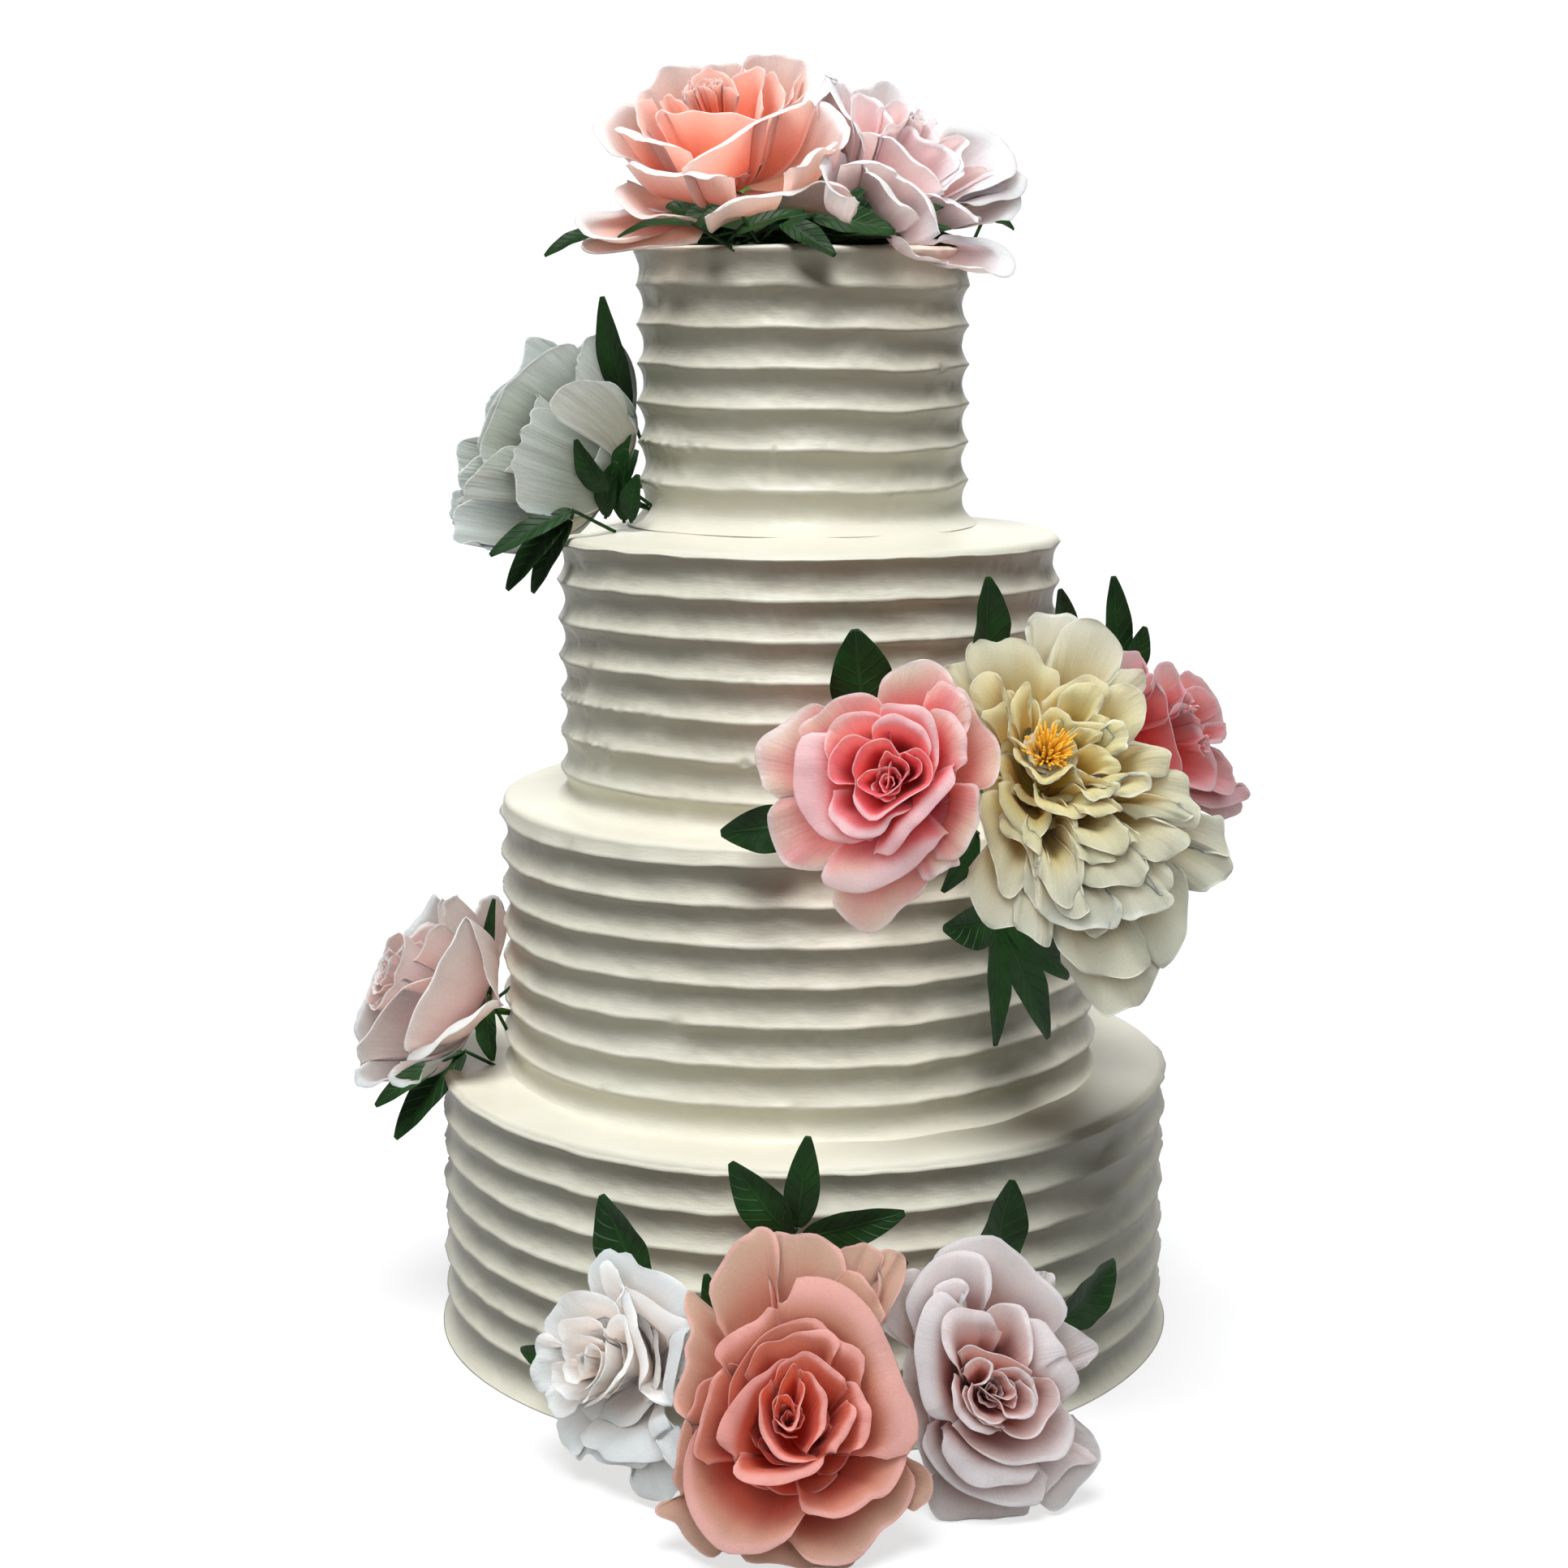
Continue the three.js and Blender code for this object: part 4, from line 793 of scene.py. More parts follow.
PEACH_TOP = [
    (-47, 1, [-4-61j, -18-67j, -37-70j, -50-71j, -57-67j, -54-58j, -41-62j]),
    (-42, (3, 6, 6, 3), [-22-43j, -35-44j, -45-47j, -53-52j, -55-58j, -50-65j, -38-70j, -27-66j]),
    (-34, (3, 6, 6, 3), [-45-25j, -40-40j, -34-51j, -24-59j, -13-61j, -2-64j]),
    ((-24, -26, -24), (3, 8, 10, 9, 11, 9, 9, 6, 2), [7-82j, 13-71j, 21-66j, 29-61j, 40-56j, 50-54j, 60-54j,
     69-57j, 78-61j]),
    (-16, (2, 5, 7, 7, 5, 3, 2), [-32-41j, -41-34j, -48-23j, -52-12j, -51-1j, -48+8j, -44+12j, -43+18j]),
    (-10, 1.5, [-33-22j, -38-6j, -40+14j, -36+19j, -35+32j, -32+39j, -24+41j, -17+38j, -10+39j]),
    (-9, 1.5, [-18+36j, -10+37j, -3+39j, 4+36j, 9+32j]),
    (-8, 1.5, [4+25j, 7+39j, 11+46j, 16+47j, 23+45j, 30+39j, 36+35j, 39+22j, 41+6j, 35-7j]),
    (-7, 1, [37+32j, 35+16j, 35+2j, 34-9j, 29-18j]),
    (-12, (2, 5, 6, 5, 3), [41-4j, 49-3j, 56-14j, 62-27j, 65-36j, 63-46j]),
    ((-12, -16, -14), (3, 6, 8, 6, 9, 8, 5), [-37-52j, -31-50j, -25-52j, -18-54j, -10-55j, -1-56j, 6-58j,
     13-60j, 20-65j]),
    (-12, (2, 7, 8, 6, 2), [45-65j, 48-55j, 53-47j, 58-40j, 64-34j]),
    (-8, (2, 7, 9, 7, 2), [-47-28j, -42-25j, -33-30j, -26-35j, -16-42j, -5-47j]),
    (-6, 1, [-36+6j, -36-7j, -33-23j, -28-36j, -20-43j]),
    ((-4, -7, -8), (2, 7, 9, 9, 8, 6, 4, 2), [53-12j, 47-9j, 39-11j, 32-17j, 25-24j, 15-35j, 7-47j, -57j,
     -5-68j]),
    (-4, 1, [19+22j, 25+17j, 31+3j, 34-11j, 33-22j]),
    (-3, (1, 2, 2, 1.5, 2, 2, 1), [-25-29j, -25-22j, -22-19j, -15-21j, -7-20j, 5-23j, 15-23j, 27-29j,
     31-26j]),
    (-2, 1, [5, 7+10j, 11+18j, 16+21j, 20+17j, 22+6j, 22-4j, 27-17j]),
    (-2, 0.8, [-22-20j, -24-12j, -23-6j, -19-8j, -12-14j]),
    (-1, 1, [-15-9j, -12-3j, -6, 1j, 7-2j, 13-6j]),
    (-1, 0.8, [-11-4j, -14+6j, -14-2j, -15-9j]),
    (0, 1, [-11-2j, -12+7j, -9+14j, -5+16j, 1+12j, 6+5j, 13-6j]),
    (1, 0.6, [-10-5j, -8+2j, -3+5j, 2+2j, 5-2j]),
]

BLUSH_TOP = [
    (-26, 1, [-50-56j, -52-64j, -50-70j, -45-74j, -37-75j, -32-80j]),
    (-25, (3, 5, 6, 5, 3), [-32-67j, -19-61j, -11-62j, -5-64j, 5-66j, 8-72j, 5-78j, -3-84j, -11-85j, -19-82j,
     -31-82j, -38-79j]),
    (-15, (2, 4, 5, 4, 2), [-50-6j, -65-14j, -80-26j, -88-36j, -85-43j, -83-51j]),
    (-16, (2, 5, 6, 5, 2), [1-43j, 18-38j, 35-34j, 48-33j, 44-37j, 40-43j, 26-53j, 16-60j]),
    (-12, (2, 5, 6, 5, 2), [61-15j, 64-18j, 58-27j, 47-35j, 28-40j, 7-46j, -6-48j]),
    (-10, 1, [-14+49j, -8+48j, -6+44j, -6+39j, -1+38j]),
    (-10, 1.5, [-9+38j, 39j, 10+42j, 20+45j, 29+47j, 34+46j, 38+41j, 37+34j, 37+28j]),
    (-9, 1, [34+26j, 35+19j, 34+12j, 33+5j]),
    (-8, (2, 5, 7, 6, 5, 3), [17-4j, 32+3j, 43+5j, 51+4j, 57, 59-6j, 57-14j, 51-22j, 38-29j, 22-37j, 5-44j,
     -16-54j]),
    ((-11, -13), (8, 10, 10, 8, 5, 3), [-59-21j, -53-28j, -52-37j, -53-47j, -50-54j, -50-64j]),
    ((-10, -13), (2, 5, 8, 9, 9, 6), [-35-46j, -23-45j, -16-48j, -10-54j, -4-59j, -2-65j]),
    ((-7, -10), (2, 3, 6, 8, 8, 7, 5, 2), [-81-29j, -65-25j, -55-25j, -49-27j, -42-30j, -39-36j, -37-43j,
     -37-54j, -42-64j, -48-77j]),
    (-6, (2, 5, 6, 5, 2), [-55+21j, -42+29j, -32+37j, -24+42j, -20+40j, -27+28j, -36+12j, -40, -45-8j,
     -52-17j]),
    (-7, 1, [2-31j, 17-25j, 27-25j, 34-27j, 41-27j]),
    ((-3, -5), (2, 4, 5, 6, 6, 4, 1), [-50-7j, -37-7j, -30-11j, -27-17j, -26-25j, -23-33j, -23-41j,
     -25-53j]),
    (-3, 1.5, [2-9j, 6-13j, 17-9j, 26-9j, 27-12j, 13-21j, -1-35j, -20-49j]),
    (-3, (1, 2, 3, 2), [-17-3j, -7-3j, -8-10j, -5-16j, 3-20j, 3-28j, -6-39j, -26-53j]),
    (-2, 1.5, [-55-8j, -44+4j, -31+16j, -21+21j, -16+20j, -15+15j, -18+5j, -21-2j, -37-9j]),
    (-1, 1, [-20-5j, -3+3j, 13+10j, 6+3j, 5-5j, 1-15j, 2-17j]),
    (0, 1, [-41-13j, -28-7j, -21-6j, -4+2j, 10+9j, 0]),
    (0, 1, [-24+8j, -15+10j, -2+15j, 3+12j, 1+7j, -14-1j]),
]

PINK_RIGHT = [
    (-18, 1, [18-29j, 25-34j, 41-41j, 53-42j, 64-41j, 75-37j]),
    (-17, 1.5, [-46+40j, -42+47j, -34+48j, -23+45j, -19+39j, -19+33j]),
    (-13, 2, [-25+41j, -37+38j, -45+26j, -44+13j, -39+1j, -24-12j, -2-20j]),
    (-11, 1.5, [3-23j, 18-25j, 34-27j, 51-27j, 59-30j, 64-34j, 54-34j, 33-33j, 17-31j, 3-27j]),
    (-8, 2, [-8+34j, 4+34j, 10+31j, 17+26j, 26+19j, 33+11j, 34+4j, 33, 21]),
    (-7, (1, 2, 2, 2, 1), [-37+41j, -30+38j, -23+31j, -19+24j, -17+15j, -15+5j, -12-4j, -11-13j, -8-19j]),
    (-6, 1.5, [13, 24-7j, 31-13j, 36-20j, 39-25j, 33-27j, 23-25j, 13-23j]),
    (-5, 1.5, [-36+35j, -28+40j, -22+41j, -15+38j, -10+33j, -8+27j, -9+21j]),
    (-5, 2, [8j, 16+7j, 28+5j, 28+2j, 25, 13+1j, 4+4j]),
    (-3, (2, 3, 3, 3, 2, 2, 1), [-26+16j, -22+19j, -14+19j, -7+16j, -3+10j, 3j, 7-5j, 12-11j, 14-17j, 10-21j,
     -21j, -12-19j]),
    (-3, 1.5, [-14+24j, -8+26j, 2+26j, 12+23j, 20+17j, 21+11j]),
    (-1, 1, [-17+18j, -14+24j, -11+26j, -7+23j, -8+20j]),
    (-1, 1, [-13+20j, -7+15j, -1+10j, 5+6j]),
    (0, 1, [-10+22j, -9+18j, -5+17j, -2+19j, -7+20j]),
]

WHITE_SIDE = [
    ((-12, -4, 4, 8, 7, 9, 14, 16, 15), 1, [-27+50j, -27+50j, -28+49j, -27+45j, -24+37j, -21+27j, -20+16j,
     -19+7j, -17-4j]),
    ((13, 18, 22, 20, 18, 13, 11), 1, [-15-7j, -15-10j, -16-14j, -15-21j, -14-27j, -13-34j, -11-35j]),
    ((10, 15, 16, 14, 10), 1, [-13-34j, -12-37j, -11-41j, -9-48j, -7-54j]),
    ((-14, -10, -4, 1, 6, 10, 14, 15, 16, 16, 15, 14), 1.2, [1+49j, 2+51j, 3+49j, 3+46j, 4+39j, 4+29j, 4+21j,
     5+12j, 6+3j, 6-7j, 7-16j, 9-21j]),
    ((-44, -32, -22, -17, -15, -12, -13, -11, -12, -13), 1, [9+37j, 8+47j, 8+58j, 8+64j, 8+59j, 8+55j, 9+49j,
     10+45j, 12+40j, 13+34j]),
    ((2, 6, 10, 14, 16, 16, 13, 6, -2), 1.2, [9-5j, 12-9j, 14-16j, 15-23j, 14-29j, 14-35j, 13-38j, 12-36j,
     11-35j]),
    ((9, 13, 14, 14, 12, 11, 6, 2, -2, -7, -9), 1, [-38j, 1-43j, 2-48j, 4-52j, 7-54j, 9-58j, 10-59j, 10-56j,
     10-57j, 11-58j, 11-54j]),
    ((-6, -2, 2, 3, 1, 5, 6, 3, 5, 3, 3, -1, -3, -6, -12, -19), 1.2, [26+19j, 28+17j, 29+14j, 31+11j, 33+7j,
     34+4j, 34+1j, 35-3j, 34-8j, 35-11j, 35-15j, 34-19j, 33-25j, 32-30j, 32-34j, 32-33j]),
    ((-40, -34, -29, -23, -17, -11, -6, -3, -2, -3, -6), 1.2, [37+29j, 39+34j, 42+38j, 44+39j, 45+37j,
     44+35j, 44+32j, 43+28j, 41+23j, 39+18j, 39+14j]),
]

BLUSH_SIDE = [
    ((-44, -39, -35, -32, -32, -33), 1.5, [4+54j, 4+55j, 3+54j, 3+50j, 4+43j, 4+37j]),
    ((-26, -22, -17, -14, -15, -16), 2, [5+44j, 7+48j, 8+49j, 9+45j, 10+40j, 12+36j]),
    ((-20, -14, -10, -7, -5, -3, -2, 0, 0, -2, -7), 1.5, [-4+35j, -5+29j, -5+24j, -5+17j, -5+11j, -5+4j,
     -6-1j, -7-9j, -7-16j, -7-21j, -5-23j]),
    ((-9, -8, -3, -7, -9, -7, -5, -3, -5), 1.5, [4+23j, 5+18j, 6+15j, 9+10j, 12+7j, 10, 7-9j, 4-16j, 3-21j]),
    ((-16, -13, -11, -10, -9, -9, -8), 1.5, [10+37j, 11+31j, 14+25j, 16+17j, 13+10j, 10-1j, 7-10j]),
    ((-22, -16, -10, -6, -3, -2, -2, -8, -16, -25), 3, [23+14j, 22+7j, 20, 19-9j, 16-21j, 14-32j, 12-39j,
     9-45j, 9-41j, 8-38j]),
    ((-11, -9, -11, -16, -23, -27, -28), (2, 4, 4, 2), [1-47j, 3-51j, 5-55j, 10-53j, 11-49j, 12-43j,
     11-39j]),
    ((-21, -23, -26, -31, -33, -31), (2, 4, 4, 2), [13-42j, 17-46j, 21-46j, 24-44j, 25-41j, 25-35j]),
    ((-23, -18, -18, -18, -16, -15, -15, -15, -16, -18, -19), (2, 5, 5, 5, 4), [34+45j, 36+45j, 38+40j,
     40+33j, 40+24j, 39+17j, 39+7j, 37-5j, 34-17j, 31-27j, 28-33j]),
    ((-21, -20, -22, -26, -32, -39, -47, -48), (1.5, 1.5, 1), [27+32j, 33+42j, 38+45j, 42+38j, 46+30j,
     48+22j, 50+14j, 52+13j]),
    ((-26, -26, -30, -34, -39, -46, -51), (3, 10, 12, 12, 8, 2), [17-37j, 27-26j, 38-17j, 43-6j, 48+3j,
     45+8j, 42+10j]),
]

# heart is the bud's tip, facing the way that the flower looks, depth the way down to its calyx;
# opening, ragged, flat and creased are given where they aren't the usual ones. Each flower's colours
# hold painted shade as well as the silk's colour: they are set darker for flowers in less light.
FLOWERS = [
    dict(name="rose_coral", slot="petal_coral", tier="tier_1", heart=(-7, -283, 62), facing=(0, -0.79, 0.61),
         depth=50, opening=(0.5, 0.8),
         petals=CORAL + furled(7, 40, 5, 0.3, -5) + shingles(5, 17, -15, 30, 0.3),
         dye_and_shade=dict(deep=(222, 46, 4), heart=(204, 76, 50), outer=(186, 146, 128), rim=(234, 160, 156))),
    dict(name="rose_blush_right", slot="petal_blush", tier="tier_1", heart=(81, -252, 60),
         facing=(0.12, -0.88, 0.45), depth=46,
         petals=BLUSH_RIGHT + furled(6, 40, 5, 0.3, -5) + shingles(5, 15, -14, 30, 0.3),
         # painted shade: the same blush silk as the rose on top, set darker here at the foot to stand for
         # the shade it gets
         dye_and_shade=dict(deep=(190, 96, 88), heart=(196, 150, 146), outer=(212, 196, 196), rim=(240, 226, 229))),
    dict(name="rose_white_left", slot="petal_white", tier="tier_1", heart=(-101, -225, 60),
         facing=(-0.6, -0.72, 0.32), depth=46, petals=WHITE_LEFT + shingles(5, 15, -14, 30, 0.3),
         dye_and_shade=dict(deep=(255, 232, 220), heart=(255, 252, 248), outer=(255, 255, 255), rim=(255, 255, 255))),
    dict(name="rose_pink_front", slot="petal_pink", tier="tier_3", heart=(35.5, -200, 317),
         facing=(-0.15, -0.95, 0.2), depth=46, petals=PINK_FRONT + furled(7, 40, 5, 0.3, -2),
         dye_and_shade=dict(deep=(240, 34, 44), heart=(255, 84, 96), outer=(252, 146, 152), rim=(255, 212, 216),
                  patch=(240, 220, 194))),
    dict(name="peony", slot="petal_cream", tier="tier_3", heart=(108, -167, 326), facing=(0.03, -0.82, 0.57),
         depth=48, ragged=0.04, flat=0.85, opening=(0.92, 0.97),
         petals=PEONY + furled(12, 0, 9, 0.3, -4) + shingles(6, 21, -15, 10, 0.3),
         dye_and_shade=dict(deep=(226, 178, 56), heart=(212, 198, 142), outer=(188, 186, 168), rim=(226, 224, 208))),
    dict(name="rose_pink_right", slot="petal_pink", tier="tier_3", heart=(189, -92, 315),
         facing=(0.78, -0.6, 0.12), depth=44, petals=PINK_RIGHT + furled(5, 30, 5),
         dye_and_shade=dict(deep=(255, 98, 94), heart=(255, 152, 158), outer=(240, 176, 184), rim=(250, 200, 208))),
    dict(name="rose_peach_top", slot="petal_peach", tier="tier_4", heart=(-42, -45, 621),
         facing=(-0.1, -0.5, 0.85), depth=54, opening=(0.5, 0.05),
         petals=PEACH_TOP + furled(5, 30, 5),
         dye_and_shade=dict(deep=(246, 118, 84), heart=(252, 190, 176), outer=(250, 214, 206), rim=(255, 226, 222))),
    dict(name="rose_blush_top", slot="petal_blush", tier="tier_4", heart=(54, -31, 606),
         facing=(0.45, -0.4, 0.8), depth=46, opening=(0.6, 0.2),
         petals=BLUSH_TOP + furled(6, 10, 5),
         dye_and_shade=dict(deep=(250, 190, 190), heart=(255, 224, 226), outer=(250, 232, 235), rim=(250, 244, 246))),
    dict(name="flower_white_side", slot="petal_white", tier="tier_4", heart=(-140, -22, 457),
         facing=(-0.88, -0.25, 0.4), depth=56, opening=(0.4, 0.15), ragged=0.04, creased=1.0,
         petals=far_side(WHITE_SIDE[3:]) + WHITE_SIDE + shingles(4, 24, 2, 30, 0.5)
         + shingles(3, 13, 0, 70, 0.5) + furled(7, 10, 5),
         # painted shade: this flower's heart and outer petals are grey and its foot a dark green-grey,
         # standing for the shade it sits in; only its rims keep the white of the silk
         dye_and_shade=dict(deep=(70, 84, 60), heart=(174, 182, 172), outer=(198, 205, 200), rim=(255, 255, 255))),
    dict(name="rose_blush_side", slot="petal_blush", tier="tier_2", heart=(-213, -24, 187),
         facing=(-0.86, -0.28, 0.42), depth=56, opening=(0.4, 0.15),
         petals=far_side(BLUSH_SIDE[4:]) + BLUSH_SIDE + shingles(4, 20, -3, 40, 1) + furled(12, 40, 8),
         # painted shade: the same blush silk as the rose on top, set darker here on the side to stand for
         # the shade it gets
         dye_and_shade=dict(deep=(226, 176, 172), heart=(216, 176, 172), outer=(218, 200, 194), rim=(255, 255, 255))),
]

USUAL = dict(ragged=0, flat=0, opening=(0.62, 0.9), creased=0.5)
WIRE = 1.3                   # a stem's radius
HIP = (2.5, 5.0, 2.2)        # the calyx's radii where the petals sit on it
SEPALS, SEPAL_LENGTH = 5, 16
SEPAL = dict(width=7, bend=3, fold=0.1, rows=12, sides=12)
SHORT_STEM = 14              # a stem that is longer bends off behind the calyx

calyx_green = leaf_finish("calyx", (58, 96, 34), (92, 132, 52), (120, 150, 75))
for seed, flower in enumerate(FLOWERS, 100):
    flower = USUAL | flower
    name, depth = flower["name"], flower["depth"]
    heart, (right, top, face) = flower_frame(flower["heart"], flower["facing"])
    lining = shingles(5, 25, 20 - depth, 10 * seed, 1)
    points, across, along, radius, lip = petal_points(
        lining + flower["petals"], depth, seed, flower["ragged"], flower["flat"], flower["opening"])
    placed = points.reshape(-1, 3) @ np.stack([right, top, face]) + heart
    placed[:, 2] = np.maximum(placed[:, 2], LOWEST_PETAL)
    sheets = len(points)
    own = across + 3.7 * np.arange(sheets)[:, None, None]    # so that no two petals crease alike
    piece = shown_piece(f"{name}_petals", placed, sheet_faces(sheets, PETAL_ROWS, PETAL_COLUMNS),
                        silk_finish(f"silk_{name}", flower["creased"]), flower["slot"], name,
                        np.stack(np.broadcast_arrays(own, along), -1).reshape(-1, 2))
    colours_and_shade = petal_dye_and_shade(across, along, radius, lip, flower["dye_and_shade"], seed).reshape(-1, 3)
    layer = piece.data.color_attributes.new("dye_and_shade", "FLOAT_COLOR", "POINT")
    colours_and_shade = np.concatenate([colours_and_shade, np.ones((len(colours_and_shade), 1))], 1)
    layer.data.foreach_set("color", colours_and_shade.astype(np.float32).reshape(-1))
    thick = piece.modifiers.new("silk thickness", "SOLIDIFY")
    thick.thickness = SILK_THICKNESS * MM
    thick.offset = 0

    foot = stem_foot(heart - depth * face, TIERS[flower["tier"]])
    path = [heart + (1.2 - depth) * face, heart - (depth + 1) * face, heart - (depth + 4) * face]
    if np.linalg.norm(foot - path[-1]) >= SHORT_STEM:
        path.append(0.6 * (heart - (depth + 10) * face) + 0.4 * foot)
    path.append(foot)
    skins = [wire_skin(path, [*HIP] + [WIRE] * (len(path) - 3))]
    for angle in 2 * pi * (np.arange(SEPALS) + 0.5) / SEPALS:
        outward = np.cos(angle) * right + np.sin(angle) * top
        run = SEPAL_LENGTH * outward + 0.5 * face
        sideways = np.cross(face, outward)
        normal = np.cross(run, sideways) / np.linalg.norm(run)
        start = heart - depth * face + 3 * outward
        skins.append(skin_with_map(*blade_rings(start, run, sideways, normal, **SEPAL)))
    points, faces, places = several_skins(skins)
    shown_piece(f"{name}_calyx", points, faces, calyx_green, "leaf", name, places)

# The peony's middle is a brush of dyed yellow threads, each with a seed-like head.
STAMENS = 90
STAMEN_RADII = [0.3, 0.3, 0.3, 0.3, 0.75, 0.45]
STAMEN_START = 16            # how far behind the bud's tip they start

dice = np.random.default_rng(7)
peony = next(flower for flower in FLOWERS if flower["name"] == "peony")
heart, (right, top, face) = flower_frame(peony["heart"], peony["facing"])
way = np.linspace(0, 1, len(STAMEN_RADII))[:, None]
threads = []
for _ in range(STAMENS):
    angle, spread = dice.uniform(0, 2 * pi), np.sqrt(dice.uniform(0, 1))
    outward = np.cos(angle) * right + np.sin(angle) * top
    length = dice.uniform(17, 23)
    path = heart - STAMEN_START * face + 3 * spread * outward + way * length * face
    path = path + way ** 2 * (9 * spread + dice.uniform(-1, 1)) * outward
    threads.append(wire_skin(path, STAMEN_RADII, 5))
points, faces, _ = several_skins(threads)
stamen_yellow, add, shade = new_finish("stamen_yellow")
pollen = add("TexNoise", add("TexCoord", output="Object"), Scale=300.0, Detail=2.0)
shade(Base_Color=two_tone(add, pollen, (224, 150, 20), (252, 210, 70)), Roughness=0.6)
shown_piece("peony_stamens", points, faces, stamen_yellow, "petal_cream", "peony")

# ---------------------------------------------------------------------------------------------
# Leaves: cut from green fabric, pressed with a rib and veins, on a thin wrapped wire that is pushed
# into the cake or shared by a few leaves.
# ---------------------------------------------------------------------------------------------

OUTWARDS = None              # the upper face looks away from the cake's axis
SKYWARDS = (0, -0.6, 0.8)
FRONTWARDS = (0.3, -0.9, 0.2)
SIDEWARDS = (-0.5, -0.85, 0.1)
USUAL_BOW = 2                # how far a leaf bows up over its length

# node: tier, the way that the upper faces look, and for each leaf its stalk's end, its tip, its
# widest and, where it isn't the usual one, its bow
SPRIGS = {
    "leaf_foot_left": ("tier_1", OUTWARDS, [((-72, -188, 80), (-93, -178, 123), 26)]),
    "leaf_foot_far_left": ("tier_1", OUTWARDS, [((-118, -160, 37), (-134, -153, 37), 10)]),
    "sprig_foot_middle": ("tier_1", OUTWARDS, [
        ((-7, -200, 110), (-34, -198, 145), 21), ((-4, -200, 114), (1, -203, 159), 16),
        ((-2, -200, 110), (45, -198, 121), 18)]),
    "leaf_foot_inner": ("tier_1", OUTWARDS, [((-36, -196, 62), (-45, -197, 92), 12)]),
    "leaf_foot_inner_right": ("tier_1", OUTWARDS, [((30, -196, 88), (46, -195, 97), 9)]),
    "leaf_foot_right": ("tier_1", OUTWARDS, [((82, -179, 84), (94, -178, 130), 26)]),
    "leaf_foot_far_right": ("tier_1", OUTWARDS, [((118, -160, 52), (147, -138, 76), 27)]),
    "leaf_front_top": ("tier_3", OUTWARDS, [((26, -136, 334), (22, -139, 377), 30)]),
    "leaf_front_left": ("tier_3", OUTWARDS, [((0, -158, 291), (-39, -158, 286), 22)]),
    "leaf_front_low": ("tier_3", OUTWARDS, [((78, -146, 284), (62, -152, 257), 12)]),
    "leaf_peony_top": ("tier_3", OUTWARDS, [((82, -110, 348), (84, -112, 398), 24)]),
    "leaf_peony_back": ("tier_3", FRONTWARDS, [((128, -40, 350), (123, -58, 386), 14)]),
    "sprig_right": ("tier_3", FRONTWARDS, [
        ((156, -24, 335), (153, -24, 389), 16), ((159, -26, 335), (169, -28, 364), 14)]),
    "sprig_hanging": ("tier_2", OUTWARDS, [
        ((88, -141, 241), (62, -158, 242), 22), ((87, -143, 240), (88, -146, 182), 13),
        ((89, -141, 240), (115, -126, 180), 18), ((91, -139, 242), (125, -116, 207), 16)]),
    "leaf_side_tall": ("tier_4", (-0.35, -0.9, 0.1), [((-86, -14, 470), (-98, -25, 525), 15, 4)]),
    "leaf_side_calyx": ("tier_4", SIDEWARDS, [((-95, -36, 428), (-110, -48, 457), 14)]),
    "sprig_side_low": ("tier_3", (-0.3, -0.8, 0.5), [
        ((-112, -43, 422), (-152, -56, 401), 13), ((-115, -44, 420), (-145, -46, 383), 15),
        ((-113, -42, 418), (-133, -40, 381), 13)]),
    # the leaves here and on the next node fill the dark cluster behind the side flower's calyx: partly real
    # leaves, partly dark sheets standing for the shade there
    "leaf_side_small": ("tier_4", SIDEWARDS, [
        ((-91, -34, 436), (-84, -30, 463), 9), ((-88, -34, 416), (-86, -38, 452), 14),
        ((-97, -34, 418), (-91, -40, 446), 13), ((-84, -44, 417), (-80, -46, 440), 12)]),
    "leaf_side_back": ("tier_4", (-0.4, -0.9, 0.1), [((-93, -26, 430), (-82, -18, 450), 12)]),
    "leaf_low_up": ("tier_2", SIDEWARDS, [((-160, -26, 174), (-156, -28, 226), 9)]),
    "leaf_low_down": ("tier_2", SIDEWARDS, [((-160, -28, 170), (-158, -32, 141), 14)]),
    "sprig_low": ("tier_1", (-0.4, -0.8, 0.45), [
        ((-172, -30, 146), (-208, -40, 102), 19), ((-185, -36, 142), (-217, -44, 121), 12)]),
    "leaf_top_far_left": ("tier_4", SKYWARDS, [((-96, -20, 556), (-126, -24, 543), 11)]),
    "leaf_top_left": ("tier_4", SKYWARDS, [((-51, -72, 557), (-88, -66, 551), 7, 4)]),
    "leaf_top_small": ("tier_4", SKYWARDS, [((-30, -76, 562), (-51, -78, 556), 11)]),
    "leaf_top_middle": ("tier_4", SKYWARDS, [
        ((-33, -76, 552), (0, -72, 563), 10), ((-28, -60, 553), (22, -66, 566), 22),
        ((-20, -50, 553), (52, -62, 560), 26), ((-10, -40, 553), (70, -36, 562), 30),
        ((-34, -50, 553), (-66, -52, 566), 24), ((0, -60, 552), (44, -74, 551), 20)]),
    "sprig_top_front": ("tier_4", (0.1, -0.8, 0.6), [
        ((-12, -76, 558), (14, -90, 542), 13), ((3, -74, 560), (42, -78, 553), 16),
        ((2, -58, 558), (66, -56, 566), 26), ((-6, -58, 560), (30, -64, 574), 24),
        ((16, -52, 555), (80, -38, 560), 26), ((-8, -56, 556), (-58, -56, 562), 20),
        # these six leaves lie flat on the top and fill the dark band along the brim under the roses: partly
        # real leaves, partly dark sheets standing for the shade there
        ((-76, -32, 549.5), (-26, -66, 549.5), 20, 0.4), ((-56, -50, 549.5), (-4, -73, 549.5), 16, 0.4),
        ((-28, -66, 549.5), (24, -71, 549.5), 18, 0.4), ((0, -72, 549.5), (50, -59, 549.5), 16, 0.4),
        ((24, -67, 549.5), (78, -34, 549.5), 18, 0.4), ((66, -42, 549.5), (76, -6, 549.5), 20, 0.4)]),
    "leaf_top_right": ("tier_4", SKYWARDS, [((88, -6, 562), (103, -6, 556), 8)]),
    "leaf_top_back": ("tier_4", SKYWARDS, [((-70, 10, 560), (-88, 20, 567), 9)]),
}

